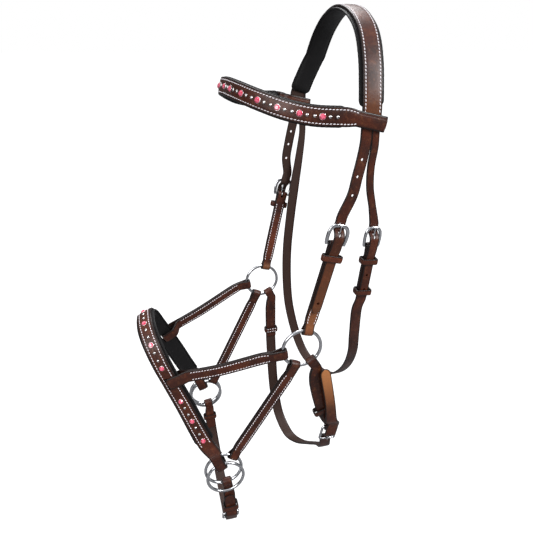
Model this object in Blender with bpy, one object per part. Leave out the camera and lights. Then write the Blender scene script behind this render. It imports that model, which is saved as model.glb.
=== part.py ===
# Side-pull bitless bridle in brown leather with black padding and steel rings.
# Metres. +Z up, the horse faces -Y, its left (near) side is +X.
# The origin is under the middle of the crown pad, where the horse's poll carries it.
import math

import bmesh
import bpy
from mathutils import Vector

# ---- leather and padding sections ----
crown_width = 0.022
crown_thick = 0.0028
crown_pad_width = 0.0285
crown_pad_thick = 0.005
cheek_width = 0.013
cheekpiece_width = 0.015
throat_width = 0.009
throat_end_width = 0.0115
throatlatch_width = 0.0140
strap_thick = 0.0022
side_width = 0.015
jaw_width = 0.016
jaw_tip_width = 0.0140
chin_width = 0.016
loop_width = 0.013
brow_width = 0.0165
brow_middle_width = 0.0200
brow_thick = 0.0024
brow_pad_width = 0.022
brow_pad_thick = 0.005
nose_width = 0.021
nose_thick = 0.003
nose_pad_width = 0.0265
nose_pad_thick = 0.006

# ---- metal ----
ring_diameter = 0.053
ring_wire = 0.0042
bar_radius = 0.0013
frame_length = 0.022
frame_side = 0.0042
square_side = 0.0032
frame_thick = 0.0030
tongue_width = 0.0022
tongue_thick = 0.0016

# ---- fits ----
clearance = 0.0004
layer_gap = 0.0005
leg_clearance = 0.0008
slack = 0.0008
keeper_ease = 0.0028
throat_keeper_ease = 0.0010
jaw_keeper_ease = 0.0024
buckle_ease = 0.0012
hole_radius = 0.0016

# ---- where things hang on the near side; the far side mirrors it ----
leg_x = 0.101
brow_height = -0.107
brow_slope = 0.225
brow_sag = 0.0075
far_lean = 0.015
cheek_ring_at = Vector((leg_x, -0.073, -0.374))
nose_ring_at = Vector((0.0860, -0.174, -0.559))
rein_ring_at = Vector((0.0916, -0.1725, -0.569))
cheek_bar_at = Vector((0.107, -0.040, -0.238))
throat_bar_at = Vector((0.1005, 0.0075, -0.2470))
jaw_bar_at = Vector((0.088, -0.0235, -0.519))
chin_bar_at = Vector((0.0825, -0.166, -0.648))
nose_pad_end = -0.5125
nose_loop_width = 0.015
nose_slit_at = -0.0035
jaw_keeper_height = -0.470
throat_pivot_at = Vector((leg_x, 0.0018, -0.1320))

# loop positions round a ring, in degrees from straight down towards the back
cheek_loop_angle = 165
upper_loop_angle = -80
lower_loop_angle = -23
jaw_loop_angle = 33
far_jaw_loop_angle = 27
nose_lower_loop_angle = 145
chin_loop_angle = 9

# ---- worked out from the sizes above ----
ring_radius = (ring_diameter - ring_wire) / 2
half_gap = (strap_thick + layer_gap) / 2
bar_fold = bar_radius + clearance
under_bow = -(frame_thick / 2 + clearance + strap_thick / 2)
over_fold = bar_fold + strap_thick * 1.5 + clearance
on_strap = half_gap + strap_thick + clearance
side_axis = Vector((1, 0, 0))
back_axis = Vector((0, 1, 0))

leather = ((0.105, 0.045, 0.028, 1), 0.42, 0.0)
padding = ((0.012, 0.012, 0.013, 1), 0.55, 0.0)
steel = ((0.62, 0.63, 0.65, 1), 0.18, 1.0)

# ---- routes in metres, near side, picked by hand ----
crown_line = [(0.0, 0.0, crown_pad_thick + clearance + crown_thick / 2), (0.030, 0.0, 0.0020),
              (0.055, 0.0, -0.0100), (0.073, -0.001, -0.0260), (0.088, -0.003, -0.0490),
              (0.0965, -0.0045, -0.0720), (leg_x - 0.001, -0.005, -0.0860)]
cheek_tail_line = [(leg_x, -0.0095, -0.1120), (leg_x, -0.0096, -0.1280), (0.1015, -0.0125, -0.1460),
                   (0.1030, -0.0170, -0.1640), (0.1045, -0.0220, -0.1840)]
far_tail_line = [(-leg_x, -0.0255, -0.1120), (-leg_x, -0.0258, -0.1280), (-0.1020, -0.0290, -0.1460),
                 (-0.1035, -0.0320, -0.1640), (-0.1050, -0.0345, -0.1840)]
throat_billet_line = [(leg_x, 0.0018, -0.1276), (leg_x, 0.0018, -0.1300), (leg_x, 0.0018, -0.1340),
                      (0.1010, -0.0010, -0.1550), (0.1010, 0.0000, -0.1780), (0.1005, 0.0050, -0.2000)]
throat_line = [(0.0945, -0.0010, -0.334), (0.082, 0.0045, -0.376), (0.068, 0.0110, -0.413), (0.045, 0.0160, -0.450),
               (0.020, 0.0160, -0.480), (-0.008, 0.0130, -0.503), (-0.035, 0.0070, -0.514),
               (-0.060, -0.0010, -0.512), (-0.076, -0.0090, -0.500), (-0.087, -0.0170, -0.476),
               (-0.094, -0.0240, -0.446), (-0.097, -0.0300, -0.410), (-0.0975, -0.0330, -0.365),
               (-0.0970, -0.0330, -0.320), (-0.0965, -0.0295, -0.275), (-0.0965, -0.0245, -0.230),
               (-0.0985, -0.0175, -0.185), (-leg_x, -0.0126, -0.150)]
upper_line = [(0.0955, -0.1250, -0.3850), (0.0800, -0.1720, -0.4030)]
nose_line = [(0.0, -0.2570, -0.3600), (0.022, -0.2560, -0.3645), (0.041, -0.2510, -0.3780),
             (0.0525, -0.2430, -0.4000), (0.0605, -0.2325, -0.4250), (0.0690, -0.2185, -0.4580),
             (0.0770, -0.2060, -0.4890), (0.0840, -0.1960, -0.5120)]
nose_across = [(0.0, 0.90, 0.43), (0.08, 0.90, 0.42), (0.16, 0.90, 0.40), (0.22, 0.89, 0.39),
               (0.25, 0.89, 0.38), (0.22, 0.91, 0.36), (0.15, 0.93, 0.35), (0.05, 0.94, 0.34)]
brow_line = [(0.1042, -0.0345), (0.0980, -0.067), (0.0860, -0.095), (0.0640, -0.120), (0.0420, -0.133),
             (0.0200, -0.1385), (0.0, -0.1395)]
jaw_near_line = [(0.1010, -0.0530, -0.4300), (0.0990, -0.0410, -0.4760)]
jaw_line = [(-0.1005, -0.0590, -0.425), (-0.0995, -0.0585, -0.476), (-0.0930, -0.0570, -0.540),
            (-0.0860, -0.0545, -0.585), (-0.0720, -0.0500, -0.622), (-0.0450, -0.0410, -0.643),
            (-0.0150, -0.0310, -0.636), (0.0200, -0.0225, -0.610), (0.0480, -0.0205, -0.586),
            (0.0700, -0.0230, -0.569)]
jaw_tip_line = [(0.1040, -0.0290, -0.4930), (0.1080, -0.0335, -0.4640), (0.1088, -0.0390, -0.4340),
                (0.1084, -0.0425, -0.4160), (0.1082, -0.0436, -0.4100), (0.1080, -0.0442, -0.4060)]
chin_line = [(-0.0855, -0.1690, -0.610), (-0.0800, -0.1670, -0.638), (-0.0660, -0.1650, -0.664),
             (-0.0450, -0.1640, -0.685), (-0.0150, -0.1630, -0.699), (0.0200, -0.1630, -0.703),
             (0.0460, -0.1640, -0.697)]
chin_tip_line = [(0.0913, -0.1665, -0.6330), (0.0910, -0.1672, -0.6220), (0.0906, -0.1680, -0.6130),
                 (0.0905, -0.1682, -0.6090), (0.0905, -0.1683, -0.6070), (0.0905, -0.1684, -0.6055)]


def mirrored(point):
    return Vector((-point[0], point[1], point[2]))


def sided(side, point):
    return Vector(point) if side > 0 else mirrored(point)


def lean(point):
    """The far side of the crown sits a little further forward than the near side."""
    below = min(max((-0.045 - point.z) / 0.050, 0.0), 1.0)
    above = min(max((point.z + 0.235) / 0.110, 0.0), 1.0)
    reach = min(max(-point.x / 0.09, 0.0), 1.0)
    return point + Vector((0, -far_lean * below * above * reach, 0))


def square_to(hint, along):
    hint = Vector(hint)
    return (hint - along * hint.dot(along)).normalized()


class Place:
    """A local frame: along the strap, out from the head, and across the strap."""

    def __init__(self, at, along, out_hint):
        self.at = Vector(at)
        self.along = Vector(along).normalized()
        self.out = square_to(out_hint, self.along)
        self.across = self.along.cross(self.out)

    def point(self, t, n, w=0.0):
        return self.at + self.along * t + self.out * n + self.across * w

    def arc(self, radius, start, end, count):
        turns = [math.radians(start + (end - start) * k / count) for k in range(count + 1)]
        return [self.point(radius * math.cos(a), radius * math.sin(a)) for a in turns]

    def sided(self, side):
        return Place(sided(side, self.at), sided(side, self.along), sided(side, self.out))

    def reversed(self):
        return Place(self.at, -self.along, self.out)


# ---- meshes ----
def material(name, look):
    colour, rough, metal = look
    mat = bpy.data.materials.new(name)
    mat.use_nodes = True
    shader = mat.node_tree.nodes["Principled BSDF"]
    shader.inputs["Base Color"].default_value = colour
    shader.inputs["Roughness"].default_value = rough
    shader.inputs["Metallic"].default_value = metal
    mat.diffuse_color = colour
    return mat


def make_object(name, verts, faces, look, origin=(0, 0, 0)):
    at = Vector(origin)
    mesh = bpy.data.meshes.new(name)
    mesh.from_pydata([tuple(Vector(v) - at) for v in verts], [], faces)
    work = bmesh.new()
    work.from_mesh(mesh)
    bmesh.ops.recalc_face_normals(work, faces=work.faces)
    work.to_mesh(mesh)
    work.free()
    mesh.materials.append(material(name, look))
    obj = bpy.data.objects.new(name, mesh)
    obj.location = at
    bpy.context.scene.collection.objects.link(obj)
    return obj


def smooth(points, step=0.010):
    """A rounded path through the points, and how far along the list each station is."""
    pts = [Vector(p) for p in points]
    ends = [pts[0] * 2 - pts[1]] + pts + [pts[-1] * 2 - pts[-2]]
    path, marks = [], []
    for i in range(1, len(ends) - 2):
        a, b, c, d = ends[i - 1], ends[i], ends[i + 1], ends[i + 2]
        count = max(1, round((c - b).length / step))
        for k in range(count):
            t = k / count
            bend = 2 * a - 5 * b + 4 * c - d
            twist = 3 * b - a - 3 * c + d
            path.append(0.5 * (2 * b + (c - a) * t + bend * t * t + twist * t * t * t))
            marks.append(i - 1 + t)
    return path + [pts[-1]], marks + [len(pts) - 1.0]


def spread(values, marks):
    """Values given at the listed points, read off at the stations."""
    out = []
    for m in marks:
        k = min(int(m), len(values) - 2)
        a, b = values[k], values[k + 1]
        out.append(a + (b - a) * (m - k))
    return out


def tangents(path, closed=False):
    out = []
    last = len(path) - 1
    for i, p in enumerate(path):
        before = path[i - 1] if i > 0 or closed else p
        after = path[(i + 1) % len(path)] if i < last or closed else p
        total = Vector((0, 0, 0))
        for a, b in ((before, p), (p, after)):
            if (b - a).length > 1e-9:
                total += (b - a).normalized()
        out.append(total.normalized())
    return out


def sweep(name, path, across, section, look, closed=False, origin=(0, 0, 0)):
    """Carry a section along a path; section(i) lists (across, out) offsets in turn."""
    along = tangents(path, closed)
    verts = []
    for i, p in enumerate(path):
        w = square_to(across[i], along[i])
        n = w.cross(along[i])
        verts += [p + w * a + n * b for a, b in section(i)]
    sides = len(section(0))
    faces = []
    for i in range(len(path) if closed else len(path) - 1):
        here, there = i * sides, ((i + 1) % len(path)) * sides
        for k in range(sides):
            m = (k + 1) % sides
            faces.append((here + k, here + m, there + m, there + k))
    if not closed:
        faces.append(tuple(range(sides))[::-1])
        faces.append(tuple(range((len(path) - 1) * sides, len(path) * sides)))
    return make_object(name, verts, faces, look, origin)


def flat_section(width, thick):
    def section(i):
        w = (width[i] if isinstance(width, list) else width) / 2
        h = thick / 2
        return [(-w, -h), (w, -h), (w, h), (-w, h)]
    return section


def pad_section(width, thick):
    """A pad with rolled edges."""
    w, h = width / 2, thick / 2
    r, q = h * 0.8, h * 0.24
    quarter = [(w - r, -h), (w - q, -h + q), (w, -h + r)]
    right = quarter + [(a, -b) for a, b in reversed(quarter)]
    outline = right + [(-a, b) for a, b in reversed(right)]

    def section(i):
        return outline
    return section


def round_section(sizes, sides=8):
    def section(i):
        a, b = sizes[i]
        turns = [math.tau * (k + 0.5) / sides for k in range(sides)]
        return [(a * math.cos(t), b * math.sin(t)) for t in turns]
    return section


def solid_step(obj, other, operation):
    other.hide_render = True
    other.display_type = "WIRE"
    mod = obj.modifiers.new(other.name, "BOOLEAN")
    mod.operation = operation
    mod.solver = "EXACT"
    mod.object = other


def cut(obj, cutters):
    for cutter in cutters:
        solid_step(obj, cutter, "DIFFERENCE")


def peg(name, place, back, out):
    """A round punch through a strap."""
    sides, depth = 10, 0.0035
    verts = []
    for n in (out - depth, out + depth):
        for k in range(sides):
            turn = math.tau * k / sides
            verts.append(place.point(back + hole_radius * math.cos(turn), n, hole_radius * math.sin(turn)))
    faces = [(k, (k + 1) % sides, sides + (k + 1) % sides, sides + k) for k in range(sides)]
    faces += [tuple(range(sides))[::-1], tuple(range(sides, 2 * sides))]
    return make_object(name, verts, faces, leather)


def block(name, place, low, high):
    """A box cutter; low and high are (along, out, across)."""
    verts = [place.point(t, n, w) for t in (low[0], high[0]) for n in (low[1], high[1])
             for w in (low[2], high[2])]
    faces = [(0, 1, 3, 2), (4, 6, 7, 5), (0, 4, 5, 1), (2, 3, 7, 6), (0, 2, 6, 4), (1, 5, 7, 3)]
    return make_object(name, verts, faces, leather)


# ---- rings ----
def ring(name, centre):
    count, sides = 36, 8
    verts, faces = [], []
    for i in range(count):
        turn = math.tau * i / count
        spoke = Vector((0, math.cos(turn), math.sin(turn)))
        for k in range(sides):
            lift = math.tau * (k + 0.5) / sides
            reach = ring_radius + ring_wire / 2 * math.cos(lift)
            verts.append(centre + spoke * reach + side_axis * ring_wire / 2 * math.sin(lift))
            j, m = (i + 1) % count, (k + 1) % sides
            faces.append((i * sides + k, i * sides + m, j * sides + m, j * sides + k))
    return make_object(name, verts, faces, steel, origin=centre)


def loop_sag(width):
    """How far a ring's wire curves across a strap of this width."""
    return ring_radius - math.sqrt(ring_radius ** 2 - (width / 2) ** 2)


ring_fold = ring_wire / 2 + loop_sag(loop_width) / 2 + clearance * 1.5


def ring_place(centre, angle):
    """At a strap's loop on a ring, along pointing away from the ring's centre."""
    turn = math.radians(angle)
    spoke = Vector((0, math.sin(turn), -math.cos(turn)))
    return Place(centre + spoke * (ring_radius - loop_sag(loop_width) / 2), spoke, side_axis)


# ---- straps ----
def same_way(hint, guide):
    return hint if hint.dot(guide) > 0 else -hint


def middle_line(head, head_fold, route, tail, tail_reach):
    """The centre route of a doubled strap between its two folds."""
    first = head.point(head_fold + strap_thick / 2 + 0.009, 0)
    return smooth([first] + route + [tail.point(tail_reach + 0.006, 0)], 0.014)


def doubled_strap(name, head, head_fold, head_width, tail, tail_wrap, tail_width, route, width):
    """A strap folded round something at both ends, its two layers lying together.

    head and tail point towards the middle. tail_wrap is the outline round the far end, (along, out).
    """
    head_radius = head_fold + strap_thick / 2
    path, marks = middle_line(head, head_fold, route, tail, max(t for t, n in tail_wrap))
    along = tangents(path)
    outs = spread([head.out] + [head.out.lerp(tail.out, 0.5)] * len(route) + [tail.out], marks)
    outs = [square_to(n, t) for n, t in zip(outs, along)]
    mids = [same_way(t.cross(n), head.across) for t, n in zip(along, outs)]
    head_arc = head.arc(head_radius, 300, 60, 8)
    tail_arc = [tail.point(t, n) for t, n in tail_wrap]
    loop = head_arc + [p + n * half_gap for p, n in zip(path, outs)]
    loop += tail_arc + [p - n * half_gap for p, n in zip(path, outs)][::-1]
    tail_across = same_way(tail.across, mids[-1])
    across = [head.across] * len(head_arc) + mids + [tail_across] * len(tail_arc) + mids[::-1]
    grow = []
    for k in range(len(path)):
        from_head, from_tail = min(1, k / 2), min(1, (len(path) - 1 - k) / 2)
        grow.append(min(head_width + (width - head_width) * from_head,
                        tail_width + (width - tail_width) * from_tail))
    widths = [head_width] * len(head_arc) + grow + [tail_width] * len(tail_arc) + grow[::-1]
    return sweep(name, loop, across, flat_section(widths, strap_thick), leather, closed=True)


def round_wrap(fold):
    """Outline of a fold round a wire or bar."""
    reach = fold + strap_thick / 2
    turns = [math.radians(60 + 30 * k) for k in range(9)]
    return [(reach * math.cos(a), reach * math.sin(a)) for a in turns]


def open_strap(name, points, across, widths, thick, origin=(0, 0, 0), step=0.011):
    path, marks = smooth(points, step)
    hints = spread([Vector(a) for a in across], marks)
    return sweep(name, path, hints, flat_section(spread(widths, marks), thick), leather, origin=origin)


def rounded_end(width):
    return [width, width * 0.97, width * 0.72, width * 0.30]


# ---- buckles ----
horseshoe = [(0.0, 1.0), (0.25, 1.06), (0.55, 1.06), (0.80, 0.93), (0.95, 0.62), (1.0, 0.25)]
squared = [(0.0, 1.0), (0.40, 1.0), (0.88, 1.0), (0.985, 0.95), (1.0, 0.84), (1.0, 0.25)]


def buckle(word, place, width, bow, side):
    """Frame and tongue; place is at the bar, along towards the bow."""
    inside = width / 2 + buckle_ease
    mid = inside + side / 2
    pts = [place.point(0, 0, w * mid) for w in (-0.72, 0, 0.72)]
    sizes = [(bar_radius, bar_radius)] * 3
    outline = bow + [(t, -w) for t, w in reversed(bow)]
    for t, w in outline:
        pts.append(place.point(t * frame_length, 0, mid * w))
        sizes.append((side / 2, frame_thick / 2))
    across = [t.cross(place.out) for t in tangents(pts, True)]
    sweep(word + "_buckle", pts, across, round_section(sizes), steel, closed=True, origin=place.at)

    wrap = bar_radius + clearance + tongue_thick / 2
    lift = frame_thick / 2 + clearance + tongue_thick / 2
    path = place.arc(wrap, -35, -270, 8)
    path += [place.point(0.006, wrap), place.point(frame_length + 0.0016, lift + 0.0001)]
    sweep(word + "_tongue", path, [place.across] * len(path),
          flat_section(tongue_width, tongue_thick), steel, origin=place.at)


slot_half = tongue_width / 2 + 0.0006


def fold_slot(word, place):
    """Slot through the fold on the bar, so the tongue can turn in it."""
    return block(word + "_fold_slot", place, (-0.0052, -0.0055, -slot_half), (0.0070, 0.0055, slot_half))


def billet_slot(word, place):
    """Slot in the billet that the tongue stands in."""
    return block(word + "_billet_slot", place, (0.0100, bar_radius - 0.0018, -slot_half),
                 (0.0182, 0.0070, slot_half))


def through_buckle(place):
    """Billet stations from above the bow to below the bar."""
    steps = [(frame_length + 0.012, under_bow - 0.0001), (frame_length + 0.004, under_bow - 0.0001),
             (frame_length - 0.0036, under_bow - 0.0001), (0.0158, -0.0008), (0.0130, 0.0034),
             (0.0092, over_fold + 0.0004), (0.0040, over_fold + 0.0004), (-0.0050, over_fold)]
    return [place.point(t, n) for t, n in steps]


def on_top(place, *backs):
    """Billet stations lying on the doubled strap, this far below the bar."""
    return [place.point(-back, on_strap) for back in backs]


def keeper(name, place, width, low, high, length=0.008):
    """A leather band round a strap lying between low and high, measured out from the place."""
    band = strap_thick * 0.8
    hw = width / 2 + clearance + band / 2
    top, base = high + clearance + band / 2, low - clearance - band / 2
    r = 0.0012
    outline = [(hw, top - r), (hw - r, top), (-hw + r, top), (-hw, top - r),
               (-hw, base + r), (-hw + r, base), (hw - r, base), (hw, base + r)]
    pts = [place.point(0, n, w) for w, n in outline]
    return sweep(name, pts, [place.along] * len(pts), flat_section(length, band), leather,
                 closed=True, origin=place.at)


double_face = half_gap + strap_thick / 2
billet_face = on_strap + strap_thick / 2


# ---- crown, browband and cheeks ----
def crown_path(line, offset):
    whole = [mirrored(p) for p in reversed(line[1:])] + [Vector(p) for p in line]
    path = [lean(p) for p in smooth(whole, 0.012)[0]]
    outs = [same_way(t.cross(back_axis).normalized(), p + Vector((0, 0, 0.12)))
            for p, t in zip(path, tangents(path))]
    return [p + n * offset for p, n in zip(path, outs)]


def cheek_place(side):
    foot = ring_place(cheek_ring_at, cheek_loop_angle).at
    return Place(cheek_bar_at, cheek_bar_at - foot, side_axis).sided(side)


def crown():
    legs = crown_line + [(leg_x, -0.005, -0.0970), (leg_x, -0.005, -0.1270)]
    path = crown_path(legs, 0.0)
    band = sweep("crown_strap", path, [back_axis] * len(path), flat_section(crown_width, crown_thick), leather)
    path = crown_path(crown_line, -(crown_thick + crown_pad_thick) / 2 - clearance)
    sweep("crown_pad", path, [back_axis] * len(path), pad_section(crown_pad_width, crown_pad_thick), padding)
    for side, word in ((1, "near"), (-1, "far")):
        place = cheek_place(side)
        top = [Vector(p) for p in (cheek_tail_line if side > 0 else far_tail_line)]
        points = top + through_buckle(place) + on_top(place, 0.0125, 0.024, 0.040, 0.058, 0.0765, 0.0830, 0.0865, 0.0885)
        across = [back_axis] * 2 + [same_way(place.across, back_axis)] * (len(points) - 2)
        widths = [cheek_width] * (len(points) - 4) + rounded_end(cheek_width)
        solid_step(band, open_strap(word + "_tail", points, across, widths, strap_thick), "UNION")
        cut(band, [billet_slot(word, place)])
        cut(band, [peg(word + "_tip_hole", place, -0.0745, on_strap)])
        cut(band, [peg("%s_tail_hole_%d" % (word, k), Place(top[k], place.along, place.out), 0, 0)
                   for k in (2, 3, 4)])


def cheeks():
    for side, word in ((1, "near"), (-1, "far")):
        place = cheek_place(side)
        foot = ring_place(cheek_ring_at, cheek_loop_angle).sided(side)
        strap = doubled_strap(word + "_cheekpiece", place.reversed(), bar_fold, cheekpiece_width,
                              foot, round_wrap(ring_fold), loop_width, [], cheekpiece_width)
        cut(strap, [fold_slot(word + "_cheek", place)])
        buckle(word + "_cheek", place, cheekpiece_width, horseshoe, frame_side)
        hold = Place(place.point(-0.0165, 0), place.along, place.out)
        wide = cheekpiece_width + 2 * keeper_ease
        keeper(word + "_cheek_keeper", hold, wide, -double_face - clearance, billet_face)
        ring(word + "_cheek_ring", sided(side, cheek_ring_at))


def browband():
    inner = leg_x - crown_thick / 2 - leg_clearance - brow_thick / 2
    outer = leg_x + crown_thick / 2 + leg_clearance + brow_thick / 2
    room = brow_width / 2 * brow_slope + leg_clearance * 2
    rear = -0.005 + crown_width / 2 + room + brow_thick / 2
    front = -0.005 - crown_width / 2 - room
    lap = outer - brow_thick - layer_gap
    wrap = [(lap + 0.0002, front - 0.0125), (lap, front - 0.0070), (inner, front + 0.0012), (inner, rear - 0.004),
            (inner + 0.0010, rear - 0.0012), (leg_x, rear), (outer - 0.0010, rear - 0.0012),
            (outer, rear - 0.004), (outer, front + 0.003), (outer, front - 0.003)]
    half = wrap + brow_line

    def lift(x, y):
        sag = brow_sag * math.sin(math.pi * min(max((-0.03 - y) / 0.11, 0.0), 1.0))
        return lean(Vector((x, y, brow_height - brow_slope * (y + 0.005) - sag)))

    points = [lift(x, y) for x, y in half] + [lift(-x, y) for x, y in reversed(half[:-1])]
    across = [Vector((0, brow_slope, 1)).normalized()] * len(points)
    widths = [brow_width] * len(wrap) + [brow_middle_width] * len(brow_line)
    open_strap("browband_strap", points, across, widths + widths[-2::-1], brow_thick)
    points = [lift(x, y) for x, y in brow_line] + [lift(-x, y) for x, y in reversed(brow_line[:-1])]
    path, marks = smooth(points, 0.011)
    along = tangents(path)
    offset = (brow_thick + brow_pad_thick) / 2 + clearance
    up = across[0]
    path = [p + up.cross(t).normalized() * -offset for p, t in zip(path, along)]
    sweep("browband_pad", path, [up] * len(path), pad_section(brow_pad_width, brow_pad_thick), padding)


# ---- noseband and its side straps ----
def nose_end(side):
    """At the noseband's loop, which holds the connecting ring and the rein ring."""
    turn = math.radians(200)
    spoke = Vector((0, math.sin(turn), -math.cos(turn)))
    upper = nose_ring_at + spoke * ring_radius
    at = upper - spoke * 0.0058
    at.x = (nose_ring_at.x + rein_ring_at.x) / 2
    return Place(at, spoke, side_axis).sided(side)


nose_half = (nose_thick + layer_gap) / 2
nose_eye_long = 0.0101 + nose_thick / 2
nose_eye_out = (rein_ring_at.x - nose_ring_at.x + ring_wire) / 2 + clearance * 1.5 + nose_thick / 2


def nose_wrap(place):
    """From the turned-back end, round the rings, to the outer layer."""
    long, out = nose_eye_long, nose_eye_out
    steps = [(0.024, -nose_half), (0.0185, -nose_half - 0.0008), (long - 0.0015, -out),
             (-long + 0.005, -out), (-long + 0.0012, -out * 0.70), (-long, 0.0), (-long + 0.0012, out * 0.70),
             (-long + 0.005, out), (long - 0.0015, out), (0.0185, nose_half + 0.0008)]
    return [place.point(t, n) for t, n in steps]


def noseband():
    near, far = nose_end(1), nose_end(-1)
    main = [Vector(p) for p in nose_line]
    hints = [Vector(a) for a in nose_across]
    whole = [p for p in reversed(main)] + [mirrored(p) for p in main[1:]]
    whole_hints = [a for a in reversed(hints)] + [mirrored(a) for a in hints[1:]]
    first, last = nose_wrap(near), nose_wrap(far)[::-1]
    near_across = same_way(near.across, hints[-1])
    far_across = same_way(far.across, hints[-1])
    points = first + whole + last
    across = [near_across] * len(first) + whole_hints + [far_across] * len(last)
    ends = [nose_loop_width] * (len(first) - 1) + [nose_width * 0.92]
    widths = ends + [nose_width] * len(whole) + ends[::-1]
    band = open_strap("noseband_strap", points, across, widths, nose_thick)
    path, marks = smooth(whole, 0.011)
    hints = spread(whole_hints, marks)
    offset = (nose_thick + nose_pad_thick) / 2 + clearance * 2
    middle = Vector((0, -0.16, -0.44))
    along = tangents(path)
    inward = [same_way(square_to(h, t).cross(t), middle - p) for h, t, p in zip(hints, along, path)]
    kept = [(p + n * offset, h) for p, n, h in zip(path, inward, hints) if p.z > nose_pad_end]
    path, hints = [p for p, h in kept], [h for p, h in kept]
    pad = sweep("noseband_pad", path, hints, pad_section(nose_pad_width, nose_pad_thick), padding)
    for side, word in ((1, "near"), (-1, "far")):
        hold = nose_hold(side)
        for body in (band, pad):
            slit = block(word + "_slit", hold, (nose_slit_at - 0.0021, -0.0130, -side_width / 2 - 0.0008),
                         (nose_slit_at + 0.0029, 0.0045, side_width / 2 + 0.0008))
            cut(body, [slit])


def nose_hold(side):
    """Where the upper side strap goes round the noseband."""
    k = 4
    at = Vector(nose_line[k])
    run = (Vector(nose_line[k + 1]) - Vector(nose_line[k - 1])).normalized()
    back = square_to(nose_across[k], run)
    out = same_way(run.cross(back), side_axis)
    return Place(at, back, out).sided(side)


def side_straps():
    over = nose_thick / 2 + 0.0009 + strap_thick / 2
    under = -(nose_thick / 2 + clearance * 2 + nose_pad_thick + 0.0013 + strap_thick / 2)
    edge = nose_pad_width / 2 + 0.0009 + strap_thick / 2
    slit = nose_slit_at
    wrap = [(edge, over), (0.0040, over), (slit + 0.0026, over - 0.0002), (slit + 0.0006, over - 0.0022),
            (slit, (over + under) / 2), (slit + 0.0006, under + 0.0022), (slit + 0.0026, under + 0.0002),
            (0.0050, under), (edge - 0.002, under), (edge + 0.0025, under + 0.003)]
    for side, word in ((1, "near"), (-1, "far")):
        head = ring_place(cheek_ring_at, upper_loop_angle).sided(side)
        route = [sided(side, p) for p in upper_line]
        doubled_strap(word + "_upper_side_strap", head, ring_fold, loop_width, nose_hold(side), wrap,
                      side_width, route, side_width)
        head = ring_place(cheek_ring_at, lower_loop_angle).sided(side)
        tail = ring_place(nose_ring_at, nose_lower_loop_angle).sided(side)
        doubled_strap(word + "_lower_side_strap", head, ring_fold, loop_width, tail, round_wrap(ring_fold),
                      loop_width, [], side_width)
        ring(word + "_nose_ring", sided(side, nose_ring_at))
        ring(word + "_rein_ring", sided(side, rein_ring_at))


# ---- straps under the jaw, the chin and the throat ----
def long_strap(name, start, fold, lap, end_width, points, across, widths, slots=()):
    """A strap folded back round something at its start, then single to its other end.

    points, across and widths describe it from the fold on; lap is how far the turned end reaches.
    """
    reach = fold + strap_thick / 2
    lead = same_way(start.across, across[0])
    path, marks = smooth([start.point(reach + 0.007, half_gap)] + points, 0.011)
    along = tangents(path)
    hints = spread([lead] + across, marks)
    wide = spread([end_width] + widths, marks)
    inner, run = [], 0.0
    for k, p in enumerate(path):
        if run > lap:
            break
        inner.append(p - square_to(start.out, along[k]) * 2 * half_gap)
        run += (path[k + 1] - p).length
    count = len(inner)
    arc = start.arc(reach, 300, 60, 8)
    strap = sweep(name, inner[::-1] + arc + path, hints[:count][::-1] + [lead] * len(arc) + hints,
                  flat_section(wide[:count][::-1] + [end_width] * len(arc) + wide, strap_thick), leather)
    cut(strap, slots)
    return strap


def jaw():
    place = Place(jaw_bar_at, (-0.16, -0.12, -0.98), side_axis)
    head = ring_place(cheek_ring_at, jaw_loop_angle)
    route = [Vector(p) for p in jaw_near_line]
    strap = doubled_strap("jaw_buckle_piece", head, ring_fold, loop_width, place.reversed(),
                          round_wrap(bar_fold), jaw_width, route, jaw_width)
    cut(strap, [fold_slot("jaw", place)])
    buckle("jaw", place, jaw_width, squared, square_side)
    start = ring_place(cheek_ring_at, far_jaw_loop_angle).sided(-1)
    points = [Vector(p) for p in jaw_line] + through_buckle(place)[1:]
    points += [place.point(-0.014, on_strap + 0.0022)] + [Vector(p) for p in jaw_tip_line]
    across = [back_axis] * len(jaw_line)
    across += [same_way(place.across, back_axis)] * (len(points) - len(across))
    widths = [jaw_width] * (len(points) - 7) + [jaw_tip_width] * 3 + rounded_end(jaw_tip_width)
    long_strap("jaw_strap", start, ring_fold, 0.072, loop_width, points, across, widths,
               [billet_slot("jaw", place)])
    path = middle_line(head, ring_fold, route, place.reversed(), bar_fold)[0]
    spot = min(range(1, len(path) - 1), key=lambda k: abs(path[k].z - jaw_keeper_height))
    hold = Place(path[spot], path[spot - 1] - path[spot + 1], side_axis)
    keeper("near_jaw_keeper", hold, jaw_width + 2 * jaw_keeper_ease, -double_face - clearance, double_face + clearance)
    spot = Vector(jaw_line[1]) + Vector((0, 0, 0.012))
    hold = Place(spot, Vector(jaw_line[0]) - Vector(jaw_line[1]), -side_axis)
    thin = strap_thick / 2
    keeper("far_jaw_keeper", hold, jaw_width + slack, -2 * half_gap - thin - clearance, thin + clearance)


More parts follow.
